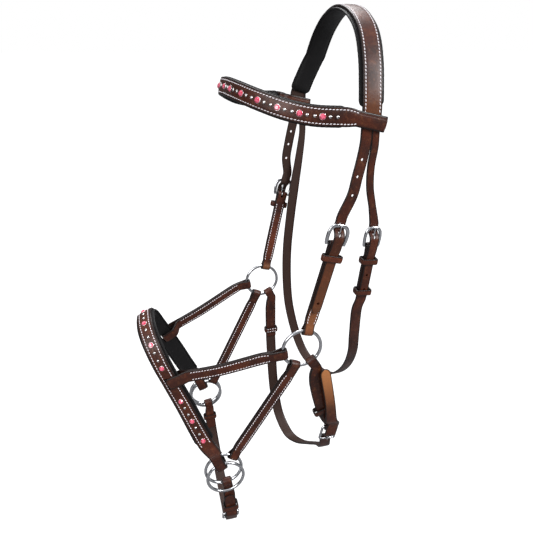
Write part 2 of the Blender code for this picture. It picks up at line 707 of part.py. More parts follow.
def chin():
    place = Place(chin_bar_at, (-0.47, 0.04, -0.88), side_axis)
    head = ring_place(nose_ring_at, chin_loop_angle)
    strap = doubled_strap("chin_buckle_piece", head, ring_fold, loop_width, place.reversed(),
                          round_wrap(bar_fold), chin_width, [], chin_width)
    cut(strap, [fold_slot("chin", place)])
    buckle("chin", place, chin_width, squared, square_side)
    start = head.sided(-1)
    points = [Vector(p) for p in chin_line] + through_buckle(place)
    points += [place.point(-0.011, on_strap + 0.0015)] + [Vector(p) for p in chin_tip_line]
    across = [back_axis] * len(points)
    widths = [chin_width] * (len(points) - 4) + rounded_end(chin_width)
    long_strap("chin_strap", start, ring_fold, 0.040, loop_width, points, across, widths,
               [billet_slot("chin", place)])
    upper, lower = Vector(chin_tip_line[1]), Vector(chin_tip_line[0])
    hold = Place((upper + lower) / 2, upper - lower, side_axis)
    low = -on_strap - double_face - 0.0016
    keeper("near_chin_keeper", hold, chin_width + slack, low, strap_thick / 2 + clearance)
    spot = Vector(chin_line[0])
    hold = Place(spot, head.sided(-1).at - spot, -side_axis)
    thin = strap_thick / 2
    keeper("far_chin_keeper", hold, chin_width + slack, -2 * half_gap - thin - clearance, thin + clearance)


def throat():
    place = Place(throat_bar_at, (0.045, 0.09, 0.995), side_axis)
    points = [Vector(p) for p in throat_billet_line] + through_buckle(place)[1:]
    points += on_top(place, 0.014, 0.024, 0.036, 0.048, 0.056, 0.060, 0.063, 0.065)
    across = [back_axis] * len(points)
    upper = len(throat_billet_line) - 2
    widths = [throat_width * 0.35, throat_width * 0.92] + [throat_width] * upper
    widths += [throat_end_width] * (len(points) - upper - 6)
    strap = open_strap("throat_billet", points, across, widths + rounded_end(throat_end_width), strap_thick)
    cut(strap, [billet_slot("throat", place)])
    cut(strap, [peg("throat_hole_%d" % k, place, -back, on_strap) for k, back in enumerate((0.036, 0.055))])
    buckle("throat", place, throat_end_width, horseshoe, frame_side * 0.85)
    start = place.reversed()
    top = mirrored(throat_pivot_at)
    points = [start.point(t, half_gap) for t in (0.030, 0.055, 0.070)] + [Vector(p) for p in throat_line]
    points += [lean(top + Vector((0, 0, 0.0020))), lean(top + Vector((0, 0, 0.0044)))]
    across = [back_axis] * len(points)
    widths = [throatlatch_width] * (len(points) - 4) + [(throatlatch_width + throat_width) / 2]
    widths += [throat_width * 1.04, throat_width * 0.92, throat_width * 0.35]
    long_strap("throatlatch", start, bar_fold, 0.052, throat_end_width, points, across, widths,
               [fold_slot("throat", place)])
    wide = throatlatch_width + 2 * throat_keeper_ease
    for k, back in ((1, 0.0185), (2, 0.059)):
        hold = Place(place.point(-back, 0), place.along, place.out)
        keeper("throat_keeper_%d" % k, hold, wide, -double_face - clearance, billet_face + clearance, 0.007)


for old in list(bpy.data.objects):
    bpy.data.objects.remove(old)
crown()
cheeks()
browband()
noseband()
side_straps()
jaw()
chin()
throat()
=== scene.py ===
import math

import bmesh
import bpy
from mathutils import Matrix, Vector


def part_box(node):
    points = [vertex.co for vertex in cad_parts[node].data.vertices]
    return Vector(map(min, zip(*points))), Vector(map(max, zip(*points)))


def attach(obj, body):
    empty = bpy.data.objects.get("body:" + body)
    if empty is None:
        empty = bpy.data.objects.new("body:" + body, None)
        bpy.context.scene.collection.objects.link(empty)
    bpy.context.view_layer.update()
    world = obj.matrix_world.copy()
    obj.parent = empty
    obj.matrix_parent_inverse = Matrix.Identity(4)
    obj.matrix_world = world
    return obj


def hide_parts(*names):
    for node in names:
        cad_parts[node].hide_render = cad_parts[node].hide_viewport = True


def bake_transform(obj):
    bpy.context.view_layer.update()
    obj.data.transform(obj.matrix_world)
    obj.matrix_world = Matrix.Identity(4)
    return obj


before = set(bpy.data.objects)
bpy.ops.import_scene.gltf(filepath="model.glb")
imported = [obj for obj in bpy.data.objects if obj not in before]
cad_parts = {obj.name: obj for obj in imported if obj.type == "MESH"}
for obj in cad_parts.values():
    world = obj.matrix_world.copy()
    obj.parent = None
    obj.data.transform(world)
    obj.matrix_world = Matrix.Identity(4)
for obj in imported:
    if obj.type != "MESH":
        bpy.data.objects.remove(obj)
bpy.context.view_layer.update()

sideAxis = Vector((1, 0, 0))
backAxis = Vector((0, 1, 0))

# sizes shared with the frame
leatherCut = {
    "strapThick": 0.0022, "layerGap": 0.0005, "clearance": 0.0004, "legClearance": 0.0008,
    "crownWidth": 0.022, "crownThick": 0.0028, "cheekWidth": 0.013, "cheekpieceWidth": 0.015,
    "throatWidth": 0.009, "throatEndWidth": 0.0115, "throatlatchWidth": 0.0140, "sideWidth": 0.015,
    "jawWidth": 0.016, "jawTipWidth": 0.0140, "chinWidth": 0.016, "loopWidth": 0.013,
    "keeperEase": 0.0028, "throatKeeperEase": 0.0010, "jawKeeperEase": 0.0024,
    "slack": 0.0008, "legX": 0.101, "farLean": 0.015,
}
station = 0.0024  # distance between cross sections along a strap

strapThick = leatherCut["strapThick"]
clearance = leatherCut["clearance"]
legX = leatherCut["legX"]
halfGap = (strapThick + leatherCut["layerGap"]) / 2
doubleFace = halfGap + strapThick / 2
onStrap = halfGap + strapThick + clearance
billetFace = onStrap + strapThick / 2

hardware = {
    "barRadius": 0.0013, "frameLength": 0.022, "frameSide": 0.0042, "squareSide": 0.0032,
    "frameThick": 0.0030, "tongueWidth": 0.0022, "tongueThick": 0.0016, "buckleEase": 0.0012,
    "holeRadius": 0.0016,
}
barFold = hardware["barRadius"] + clearance
underBow = -(hardware["frameThick"] / 2 + clearance + strapThick / 2)
overFold = barFold + strapThick * 1.5 + clearance


# small geometry helpers
def mirrored(point):
    return Vector((-point[0], point[1], point[2]))


def sided(side, point):
    return Vector(point) if side > 0 else mirrored(point)


def lean(point):
    below = min(max((-0.045 - point.z) / 0.050, 0.0), 1.0)
    above = min(max((point.z + 0.235) / 0.110, 0.0), 1.0)
    reach = min(max(-point.x / 0.09, 0.0), 1.0)
    return point + Vector((0, -leatherCut["farLean"] * below * above * reach, 0))


def squareTo(hint, along):
    hint = Vector(hint)
    return (hint - along * hint.dot(along)).normalized()


def sameWay(hint, guide):
    return hint if hint.dot(guide) > 0 else -hint


class Place:  # a spot on a strap: along it, out from the head, and across it
    def __init__(self, at, along, outHint):
        self.at = Vector(at)
        self.along = Vector(along).normalized()
        self.out = squareTo(outHint, self.along)
        self.across = self.along.cross(self.out)

    def point(self, t, n, w=0.0):
        return self.at + self.along * t + self.out * n + self.across * w

    def arc(self, radius, start, end, count):
        turns = [math.radians(start + (end - start) * k / count) for k in range(count + 1)]
        return [self.point(radius * math.cos(a), radius * math.sin(a)) for a in turns]

    def sided(self, side):
        return Place(sided(side, self.at), sided(side, self.along), sided(side, self.out))

    def reversed(self):
        return Place(self.at, -self.along, self.out)


def smoothPath(points, step=station):
    pts = [Vector(p) for p in points]
    ends = [pts[0] * 2 - pts[1]] + pts + [pts[-1] * 2 - pts[-2]]
    path, marks = [], []
    for i in range(1, len(ends) - 2):
        a, b, c, d = ends[i - 1], ends[i], ends[i + 1], ends[i + 2]
        count = max(2, round((c - b).length / step))
        for k in range(count):
            t = k / count
            bend = 2 * a - 5 * b + 4 * c - d
            twist = 3 * b - a - 3 * c + d
            path.append(0.5 * (2 * b + (c - a) * t + bend * t * t + twist * t * t * t))
            marks.append(i - 1 + t)
    return path + [pts[-1]], marks + [len(pts) - 1.0]


def spread(values, marks):
    out = []
    for m in marks:
        k = min(int(m), len(values) - 2)
        a, b = values[k], values[k + 1]
        out.append(a + (b - a) * (m - k))
    return out


def tangentsOf(path, closed=False):
    out = []
    last = len(path) - 1
    for i, p in enumerate(path):
        before = path[i - 1] if i > 0 or closed else p
        after = path[(i + 1) % len(path)] if i < last or closed else p
        total = Vector((0, 0, 0))
        for a, b in ((before, p), (p, after)):
            if (b - a).length > 1e-9:
                total += (b - a).normalized()
        out.append(total.normalized())
    return out


def arcLengths(path):
    run = [0.0]
    for a, b in zip(path, path[1:]):
        run.append(run[-1] + (b - a).length)
    return run


def tipped(path, widths, tip):
    # narrows a strap's end to a rounded point, over the tip's length
    bluntest = 0.16  # share of the width left at the very end
    run = arcLengths(path)
    out = []
    for s, w in zip(run, widths):
        left = run[-1] - s
        share = max(bluntest, math.sqrt(1 - (1 - left / tip) ** 2)) if left < tip else 1.0
        out.append(w * share)
    return out


def addTipStations(path, lists, endTip):
    # closer stations in the last few millimetres, so a round tip has enough of them
    run = arcLengths(path)
    newPath, newLists = [], [[] for _ in lists]
    for i, p in enumerate(path):
        newPath.append(p)
        for values, grown in zip(lists, newLists):
            grown.append(values[i])
        if i + 1 < len(path) and run[-1] - run[i] < endTip + 0.002:
            count = max(1, round((run[i + 1] - run[i]) / 0.0005))
            for k in range(1, count):
                t = k / count
                newPath.append(p.lerp(path[i + 1], t))
                for values, grown in zip(lists, newLists):
                    grown.append(values[i] + (values[i + 1] - values[i]) * t)
    return newPath, newLists


# cross sections: (across, out, edge paint, flesh side), out is away from the head
def strapSection(width, thick, look):
    w, h = width / 2, thick / 2
    soft = min(h, w * 0.5)
    inset = min(look.get("inset", 0.0021), w * 0.35)
    dip = look.get("crease", 0.00016) * min(1.0, w / 0.004)
    dome = look.get("dome", 0.00025) * min(1.0, w / 0.004)
    points = [((w - soft) * a, -h, 0.0, 1.0) for a in (-1, -0.5, 0, 0.5)]
    edge = []
    for k in range(7):
        turn = math.radians(-90 + 30 * k)
        c, s = math.cos(turn), math.sin(turn)
        edge.append((w - soft * (1 - abs(c) ** 0.6), h * math.copysign(abs(s) ** 0.6, s),
                     1.0 if 0 < k < 6 else 0.7, 0.0))
    points += edge
    top = []
    for a, drop, paint in ((w - inset * 0.66, 0.15, 0.35), (w - inset, 1.0, 0.2),
                           (w - inset * 1.35, 0.1, 0.05),
                           (w * 0.42, 0.0, 0.0)):
        top.append((a, h + dome * (1 - (a / w) ** 2) - dip * drop, paint, 0.0))
    points += top + [(0.0, h + dome, 0.0, 0.0)] + [(-a, b, e, f) for a, b, e, f in reversed(top)]
    points += [(-a, b, e, f) for a, b, e, f in reversed(edge)]
    return points


def padSection(width, thick, look):
    # flat against the leather, rolled on the inside, with a sewn flange along each side
    w, h = width / 2, thick / 2
    flange = look["flange"]
    lip = look["lip"]
    points = []
    for k in range(5):
        turn = math.radians(90 - 45 * k)
        points.append((w - lip + lip * math.cos(turn), h - lip + lip * math.sin(turn), 0.0, 0.0))
    seam = h - lip * 2 + 0.0002
    inside = w - flange
    points.append((inside + flange * 0.35, seam + 0.0001, 0.0, 0.0))
    # the edge value marks the seam crease, where the padding material paints shade
    points.append((inside, seam, 1.0, 0.0))
    for k in range(1, 9):
        turn = math.radians(90 * k / 8)
        a = inside * (1 - (k / 8) ** 1.6)
        b = seam + (-h - seam) * math.sin(turn) ** 0.62
        points.append((a, b, 0.0, 0.0))
    left = [(-a, b, e, f) for a, b, e, f in reversed(points) if a > 1e-9]
    return points + left


def roundSection(acrossHalf, outHalf, sides=20, power=0.85):
    points = []
    for k in range(sides):
        turn = math.tau * (k + 0.5) / sides
        c, s = math.cos(turn), math.sin(turn)
        points.append((acrossHalf * math.copysign(abs(c) ** power, c),
                       outHalf * math.copysign(abs(s) ** power, s), 0.0, 0.0))
    return points


# meshes
def meshObject(name, verts, faces, material, sharp=None):
    mesh = bpy.data.meshes.new(name)
    mesh.from_pydata([tuple(v) for v in verts], [], faces)
    work = bmesh.new()
    work.from_mesh(mesh)
    bmesh.ops.recalc_face_normals(work, faces=work.faces)
    work.to_mesh(mesh)
    work.free()
    mesh.materials.append(material)
    mesh.polygons.foreach_set("use_smooth", [True] * len(mesh.polygons))
    if sharp:
        mesh.set_sharp_from_angle(angle=math.radians(sharp))
    obj = bpy.data.objects.new(name, mesh)
    bpy.context.scene.collection.objects.link(obj)
    return obj


def skin(name, path, wide, out, sections, material, closed=False, paintedLight=None, sharp=55):
    # carries the sections along the path and stores what the materials read
    sides = len(sections[0])
    verts, edge, flesh, paintedLightValues = [], [], [], []
    for i, p in enumerate(path):
        for a, b, e, f in sections[i]:
            verts.append(p + wide[i] * a + out[i] * b)
            edge.append(e)
            flesh.append(f)
            paintedLightValues.append(paintedLight[i] if paintedLight else 0.0)
    faces = []
    for i in range(len(path) if closed else len(path) - 1):
        here, there = i * sides, ((i + 1) % len(path)) * sides
        for k in range(sides):
            m = (k + 1) % sides
            faces.append((here + k, here + m, there + m, there + k))
    if not closed:
        faces.append(tuple(range(sides))[::-1])
        faces.append(tuple(range((len(path) - 1) * sides, len(path) * sides)))
    obj = meshObject(name, verts, faces, material, sharp)
    mesh = obj.data
    for label, values in (("edge", edge), ("flesh", flesh), ("paintedLight", paintedLightValues)):
        mesh.attributes.new(label, "FLOAT", "POINT").data.foreach_set("value", values)
    run = arcLengths(path)
    around = [0.0]
    middle = sections[len(sections) // 2]
    for a, b in zip(middle, middle[1:] + middle[:1]):
        around.append(around[-1] + math.hypot(b[0] - a[0], b[1] - a[1]))
    layer = mesh.uv_layers.new(name="UVMap")
    for poly in mesh.polygons:
        ks = [mesh.loops[j].vertex_index % sides for j in poly.loop_indices]
        rows = [mesh.loops[j].vertex_index // sides for j in poly.loop_indices]
        wraps = 0 in ks and sides - 1 in ks and len(ks) == 4
        lap = closed and 0 in rows and len(path) - 1 in rows
        for j, k, i in zip(poly.loop_indices, ks, rows):
            v = around[sides] if wraps and k == 0 else around[k]
            u = run[-1] + station if lap and i == 0 else run[i]
            layer.data[j].uv = (u * 20, v * 20)
    return obj


def ribbon(name, path, across, widths, thick, look, material, outHint, closed=False, section=strapSection,
           paintedLight=None, sharp=55):
    along = tangentsOf(path, closed)
    wide = [squareTo(a, t) for a, t in zip(across, along)]
    out = [w.cross(t) for w, t in zip(wide, along)]
    hints = outHint if isinstance(outHint, list) else [outHint] * len(path)
    facing = sum(o.dot(h) for o, h in zip(out, hints) if h is not None)
    if facing < 0:
        out = [-o for o in out]
    sections = [section(w, thick, look) for w in widths]
    obj = skin(name, path, wide, out, sections, material, closed, paintedLight, sharp)
    return obj, {"path": path, "wide": wide, "out": out, "widths": widths}


def cutWith(obj, cutters):
    for cutter in cutters:
        mod = obj.modifiers.new("cut", "BOOLEAN")
        mod.operation = "DIFFERENCE"
        mod.solver = "EXACT"
        mod.object = cutter
    bpy.context.view_layer.update()
    graph = bpy.context.evaluated_depsgraph_get()
    mesh = bpy.data.meshes.new_from_object(obj.evaluated_get(graph))
    obj.modifiers.clear()
    obj.data = mesh
    mesh.set_sharp_from_angle(angle=math.radians(50))
    for cutter in cutters:
        bpy.data.objects.remove(cutter)
    return obj


def punch(place, back, out, radius=None):
    radius = radius or hardware["holeRadius"]
    sides, depth = 20, 0.0035
    verts = []
    for n in (out - depth, out + depth):
        for k in range(sides):
            turn = math.tau * k / sides
            verts.append(place.point(back + radius * math.cos(turn), n, radius * math.sin(turn)))
    faces = [(k, (k + 1) % sides, sides + (k + 1) % sides, sides + k) for k in range(sides)]
    faces += [tuple(range(sides))[::-1], tuple(range(sides, 2 * sides))]
    return meshObject("punch", verts, faces, leatherShaded)


def slotCutter(place, low, high, corner=None):
    # a slot with round corners: low and high are (along, out, across)
    corner = corner or (high[2] - low[2]) / 2 * 0.999
    outline = []
    for t, w, start in ((high[0], high[2], 0), (low[0], high[2], 90), (low[0], low[2], 180),
                        (high[0], low[2], 270)):
        t += corner if start in (90, 180) else -corner
        w += corner if start in (180, 270) else -corner
        for k in range(6):
            turn = math.radians(start + 90 * k / 5)
            outline.append((t + corner * math.cos(turn), w + corner * math.sin(turn)))
    verts = [place.point(t, n, w) for n in (low[1], high[1]) for t, w in outline]
    count = len(outline)
    faces = [(k, (k + 1) % count, count + (k + 1) % count, count + k) for k in range(count)]
    faces += [tuple(range(count))[::-1], tuple(range(count, 2 * count))]
    return meshObject("slot", verts, faces, leatherShaded)


slotHalf = hardware["tongueWidth"] / 2 + 0.0006


def foldSlot(place):
    return slotCutter(place, (-0.0052, -0.0055, -slotHalf), (0.0070, 0.0055, slotHalf))


def billetSlot(place):
    return slotCutter(place, (0.0100, hardware["barRadius"] - 0.0018, -slotHalf), (0.0182, 0.0070, slotHalf))


# material building
def sockets(group, rows):
    for label, way, kind, value in rows:
        socket = group.interface.new_socket(name=label, in_out=way, socket_type=kind)
        if value is not None:
            socket.default_value = value


def addNode(tree, kind, inputs=None, **settings):
    node = tree.nodes.new(kind)
    for key, value in settings.items():
        setattr(node, key, value)
    for key, value in (inputs or {}).items():
        if isinstance(value, bpy.types.NodeSocket):
            tree.links.new(value, node.inputs[key])
        else:
            node.inputs[key].default_value = value
    return node


def math2(tree, operation, a, b=0.0, clamp=False):
    node = addNode(tree, "ShaderNodeMath", {0: a, 1: b}, operation=operation, use_clamp=clamp)
    return node.outputs[0]


def ranged(tree, value, low, high, toLow, toHigh):
    node = addNode(tree, "ShaderNodeMapRange", {"Value": value, "From Min": low, "From Max": high,
                                                "To Min": toLow, "To Max": toHigh})
    return node.outputs[0]


def mixColour(tree, share, a, b, blend="MIX"):
    node = addNode(tree, "ShaderNodeMix", {0: share, 6: a, 7: b}, data_type="RGBA", blend_type=blend)
    return node.outputs[2]


def hideGrain():
    # pebbled hide: a height, cloudy colour drift and fine scuffs, all in object space
    group = bpy.data.node_groups.new("hideGrain", "ShaderNodeTree")
    sockets(group, [("Pebble Scale", "INPUT", "NodeSocketFloat", 900.0),
                    ("Cloud Scale", "INPUT", "NodeSocketFloat", 30.0),
                    ("Pebble Depth", "INPUT", "NodeSocketFloat", 1.0),
                    ("Height", "OUTPUT", "NodeSocketFloat", None),
                    ("Cloud", "OUTPUT", "NodeSocketFloat", None),
                    ("Scuff", "OUTPUT", "NodeSocketFloat", None),
                    ("Pore", "OUTPUT", "NodeSocketFloat", None)])
    given = addNode(group, "NodeGroupInput").outputs
    where = addNode(group, "ShaderNodeTexCoord").outputs["Object"]
    wobble = addNode(group, "ShaderNodeTexNoise", {"Vector": where, "Scale": 260.0, "Detail": 2.0})
    push = addNode(group, "ShaderNodeVectorMath", {0: wobble.outputs["Color"], 1: (0.0012, 0.0012, 0.0012)},
                   operation="MULTIPLY")
    bent = addNode(group, "ShaderNodeVectorMath", {0: where, 1: push.outputs[0]}, operation="ADD").outputs[0]
    pebble = addNode(group, "ShaderNodeTexVoronoi", {"Vector": bent, "Scale": given["Pebble Scale"]},
                     feature="DISTANCE_TO_EDGE")
    plate = ranged(group, pebble.outputs["Distance"], 0.0, 0.16, 0.0, 1.0)
    fine = addNode(group, "ShaderNodeTexNoise", {"Vector": where, "Scale": 2600.0, "Detail": 3.0})
    rough = math2(group, "MULTIPLY", fine.outputs["Fac"], 0.35)
    height = math2(group, "MULTIPLY", math2(group, "ADD", plate, rough), given["Pebble Depth"])
    cloud = addNode(group, "ShaderNodeTexNoise", {"Vector": where, "Scale": given["Cloud Scale"],
                                                  "Detail": 5.0, "Roughness": 0.62})
    streak = addNode(group, "ShaderNodeTexNoise", {"Vector": where, "Scale": 190.0, "Detail": 6.0,
                                                   "Roughness": 0.7})
    out = addNode(group, "NodeGroupOutput")
    for label, value in (("Height", height),
                         ("Cloud", ranged(group, cloud.outputs["Fac"], 0.32, 0.68, 0.0, 1.0)),
                         ("Scuff", ranged(group, streak.outputs["Fac"], 0.52, 0.70, 0.0, 1.0)),
                         ("Pore", math2(group, "SUBTRACT", 1.0, plate))):
        group.links.new(value, out.inputs[label])
    return group


def edgeFinish():
    # painted edges, the flesh side and the painted light stored along each strap
    group = bpy.data.node_groups.new("edgeFinish", "ShaderNodeTree")
    sockets(group, [("Colour", "INPUT", "NodeSocketColor", (0.1, 0.04, 0.02, 1)),
                    ("Edge Colour", "INPUT", "NodeSocketColor", (0.01, 0.006, 0.005, 1)),
                    ("Flesh Colour", "INPUT", "NodeSocketColor", (0.05, 0.02, 0.01, 1)),
                    ("Light Colour", "INPUT", "NodeSocketColor", (0.4, 0.2, 0.1, 1)),
                    ("Breakup", "INPUT", "NodeSocketFloat", 0.5),
                    ("Colour", "OUTPUT", "NodeSocketColor", None),
                    ("Edge", "OUTPUT", "NodeSocketFloat", None),
                    ("Flesh", "OUTPUT", "NodeSocketFloat", None)])
    given = addNode(group, "NodeGroupInput").outputs
    edge = addNode(group, "ShaderNodeAttribute", attribute_name="edge").outputs["Fac"]
    flesh = addNode(group, "ShaderNodeAttribute", attribute_name="flesh").outputs["Fac"]
    paintedLight = addNode(group, "ShaderNodeAttribute", attribute_name="paintedLight").outputs["Fac"]
    ragged = math2(group, "ADD", edge, math2(group, "MULTIPLY",
                                             math2(group, "SUBTRACT", given["Breakup"], 0.5), 0.35))
    painted = ranged(group, ragged, 0.15, 0.75, 0.0, 0.94)
    # painted light: the stored value lightens lit stretches of strap toward the Light Colour
    litColour = mixColour(group, paintedLight, given["Colour"], given["Light Colour"])
    backed = mixColour(group, flesh, litColour, given["Flesh Colour"])
    out = addNode(group, "NodeGroupOutput")
    group.links.new(mixColour(group, painted, backed, given["Edge Colour"]), out.inputs["Colour"])
    group.links.new(painted, out.inputs["Edge"])
    group.links.new(flesh, out.inputs["Flesh"])
    return group


def newMaterial(name, look):
    material = bpy.data.materials.new(name)
    material.use_nodes = True
    shader = material.node_tree.nodes["Principled BSDF"]
    for label, value in look.items():
        shader.inputs[label].default_value = value
    return material, material.node_tree, shader


leatherLook = {
    "deep": (0.024, 0.0060, 0.0038, 1), "mid": (0.094, 0.0220, 0.0095, 1), "light": (0.42, 0.165, 0.058, 1),
    "edge": (0.0075, 0.0045, 0.004, 1), "flesh": (0.030, 0.0135, 0.009, 1),
    "roughLow": 0.30, "roughHigh": 0.46, "bump": 0.16, "depth": 0.00025,
}


def makeLeather(name, shade=1.0, pebbles=900.0):
    look = leatherLook
    material, tree, shader = newMaterial(name, {"Coat Weight": 0.06, "Coat Roughness": 0.28,
                                                "Specular IOR Level": 0.34, "IOR": 1.46})
    grain = addNode(tree, "ShaderNodeGroup", node_tree=grainGroup)
    grain.inputs["Pebble Scale"].default_value = pebbles
    deep = tuple(c * shade for c in look["deep"][:3]) + (1,)
    mid = tuple(c * shade for c in look["mid"][:3]) + (1,)
    base = mixColour(tree, grain.outputs["Cloud"], deep, mid)
    scuffed = mixColour(tree, math2(tree, "MULTIPLY", grain.outputs["Scuff"], 0.18), base, look["light"])
    pored = mixColour(tree, math2(tree, "MULTIPLY", grain.outputs["Pore"], 0.55), scuffed, look["edge"])
    finish = addNode(tree, "ShaderNodeGroup", {"Colour": pored, "Breakup": grain.outputs["Cloud"]},
                     node_tree=edgeGroup)
    finish.inputs["Edge Colour"].default_value = look["edge"]
    finish.inputs["Flesh Colour"].default_value = look["flesh"]
    finish.inputs["Light Colour"].default_value = look["light"]
    tree.links.new(finish.outputs["Colour"], shader.inputs["Base Color"])
    rough = ranged(tree, grain.outputs["Cloud"], 0.0, 1.0, look["roughHigh"], look["roughLow"])
    dull = math2(tree, "ADD", rough, math2(tree, "MULTIPLY", finish.outputs["Flesh"], 0.3), clamp=True)
    tree.links.new(dull, shader.inputs["Roughness"])
    bump = addNode(tree, "ShaderNodeBump", {"Strength": look["bump"], "Distance": look["depth"],
                                            "Height": grain.outputs["Height"]})
    tree.links.new(bump.outputs[0], shader.inputs["Normal"])
    return material


def makePadding():
    material, tree, shader = newMaterial("paddingBlack", {"Specular IOR Level": 0.22, "Sheen Weight": 0.02,
                                                          "Sheen Roughness": 0.5})
    grain = addNode(tree, "ShaderNodeGroup", node_tree=grainGroup)
    grain.inputs["Pebble Scale"].default_value = 1300.0
    base = mixColour(tree, grain.outputs["Cloud"], (0.0032, 0.0030, 0.0033, 1), (0.0080, 0.0075, 0.0080, 1))
    seam = addNode(tree, "ShaderNodeAttribute", attribute_name="edge").outputs["Fac"]
    # painted shade: the pad is darkened along the seam crease where the flange meets the roll
    creaseShade = mixColour(tree, math2(tree, "MULTIPLY", seam, 0.7), base, (0.002, 0.002, 0.002, 1))
    tree.links.new(creaseShade, shader.inputs["Base Color"])
    rough = ranged(tree, grain.outputs["Cloud"], 0.0, 1.0, 0.62, 0.46)
    tree.links.new(rough, shader.inputs["Roughness"])
    bump = addNode(tree, "ShaderNodeBump", {"Strength": 0.22, "Distance": 0.0003,
                                            "Height": grain.outputs["Height"]})
    tree.links.new(bump.outputs[0], shader.inputs["Normal"])
    return material


def makeSteel(name, colour, rough):
    material, tree, shader = newMaterial(name, {"Metallic": 1.0})
    where = addNode(tree, "ShaderNodeTexCoord").outputs["Object"]
    smear = addNode(tree, "ShaderNodeTexNoise", {"Vector": where, "Scale": 90.0, "Detail": 4.0})
    scratch = addNode(tree, "ShaderNodeTexNoise", {"Vector": where, "Scale": 1500.0, "Detail": 2.0})
    tint = mixColour(tree, smear.outputs["Fac"], tuple(c * 0.92 for c in colour) + (1,), tuple(colour) + (1,))
    tree.links.new(tint, shader.inputs["Base Color"])
    tree.links.new(ranged(tree, smear.outputs["Fac"], 0.3, 0.7, rough * 0.7, rough * 1.4),
                   shader.inputs["Roughness"])
    bump = addNode(tree, "ShaderNodeBump", {"Strength": 0.03, "Distance": 0.0001,
                                            "Height": scratch.outputs["Fac"]})
    tree.links.new(bump.outputs[0], shader.inputs["Normal"])
    return material


def makeThread():
    material, tree, shader = newMaterial("threadWhite", {"Sheen Weight": 0.25, "Specular IOR Level": 0.3})
    where = addNode(tree, "ShaderNodeTexCoord").outputs["Object"]
    ply = addNode(tree, "ShaderNodeTexWave", {"Vector": where, "Scale": 900.0, "Distortion": 2.5},
                  bands_direction="DIAGONAL")
    soil = addNode(tree, "ShaderNodeTexNoise", {"Vector": where, "Scale": 120.0, "Detail": 3.0})
    base = mixColour(tree, soil.outputs["Fac"], (0.74, 0.69, 0.73, 1), (0.98, 0.96, 0.98, 1))
    # painted shade: the grooves of the twist are darkened
    plyShaded = mixColour(tree, math2(tree, "MULTIPLY", ply.outputs["Fac"], 0.25), base, (0.42, 0.36, 0.40, 1))
    tree.links.new(plyShaded, shader.inputs["Base Color"])
    tree.links.new(ranged(tree, soil.outputs["Fac"], 0.0, 1.0, 0.6, 0.8), shader.inputs["Roughness"])
    bump = addNode(tree, "ShaderNodeBump", {"Strength": 0.4, "Distance": 0.0002,
                                            "Height": ply.outputs["Fac"]})
    tree.links.new(bump.outputs[0], shader.inputs["Normal"])
    return material


def makeCrystal():
    material, tree, shader = newMaterial("crystalPink", {"Coat Weight": 1.0, "Coat Roughness": 0.02,
                                                         "Specular IOR Level": 0.9, "IOR": 1.6})
    # painted reflection: each facet gets a random brightness from deep red to pale pink, standing in for
    # light refracted and reflected in the stone
    facetGlint = addNode(tree, "ShaderNodeAttribute", attribute_name="facetGlint").outputs["Fac"]
    ramp = addNode(tree, "ShaderNodeValToRGB", {"Fac": facetGlint})
    stops = ramp.color_ramp.elements
    stops[0].color, stops[1].color = (0.46, 0.006, 0.035, 1), (0.90, 0.24, 0.36, 1)
    stops[0].position, stops[1].position = 0.1, 0.95
    middle = stops.new(0.5)
    middle.color = (0.72, 0.020, 0.080, 1)
    tree.links.new(ramp.outputs["Color"], shader.inputs["Base Color"])
    tree.links.new(ranged(tree, facetGlint, 0.0, 1.0, 0.04, 0.14), shader.inputs["Roughness"])
    return material


grainGroup = hideGrain()
edgeGroup = edgeFinish()
leather = makeLeather("leatherBrown")
# lit and shaded copies of the leather: the darker one paints shade on the jaw buckle piece, the brighter one
# paints light on the cheekpieces and their keepers
leatherShaded = makeLeather("leatherShaded", 0.72)
leatherLit = makeLeather("leatherLit", 1.5)
padding = makePadding()
steel = makeSteel("steelPolished", (0.66, 0.67, 0.69), 0.16)
silver = makeSteel("silverStuds", (0.66, 0.65, 0.64), 0.2)
thread = makeThread()
crystal = makeCrystal()
print("materials ready")


# rows of repeated trim, made by geometry nodes along guide lines
def rowTree(name, inputs, shape):
    tree = bpy.data.node_groups.new(name, "GeometryNodeTree")
    sockets(tree, [("Guides", "INPUT", "NodeSocketGeometry", None)] + inputs +
            [("Finish", "INPUT", "NodeSocketMaterial", None),
             ("Geometry", "OUTPUT", "NodeSocketGeometry", None)])
    given = addNode(tree, "NodeGroupInput").outputs
    curve = addNode(tree, "GeometryNodeMeshToCurve", {"Mesh": given["Guides"]})
    spaced = addNode(tree, "GeometryNodeResampleCurve", {"Curve": curve.outputs[0],
                                                         "Length": given["Pitch"]}, mode="LENGTH")
    facing = addNode(tree, "GeometryNodeInputNamedAttribute", {"Name": "facing"}, data_type="FLOAT_VECTOR")
    tangent = addNode(tree, "GeometryNodeInputTangent")
    turn = addNode(tree, "FunctionNodeAxesToRotation", primary_axis="Z", secondary_axis="X")
    tree.links.new(facing.outputs["Attribute"], turn.inputs[0])
    tree.links.new(tangent.outputs[0], turn.inputs[1])
    body, keep = shape(tree, given)
    placed = addNode(tree, "GeometryNodeInstanceOnPoints", {"Points": spaced.outputs[0], "Instance": body,
                                                            "Rotation": turn.outputs[0]})
    if keep is not None:
        tree.links.new(keep, placed.inputs["Selection"])
    real = addNode(tree, "GeometryNodeRealizeInstances", {"Geometry": placed.outputs[0]})
    finish = addNode(tree, "GeometryNodeSetMaterial",
                     {"Geometry": real.outputs[0], "Material": given["Finish"]})
    out = addNode(tree, "NodeGroupOutput")
    tree.links.new(finish.outputs[0], out.inputs[0])
    return tree


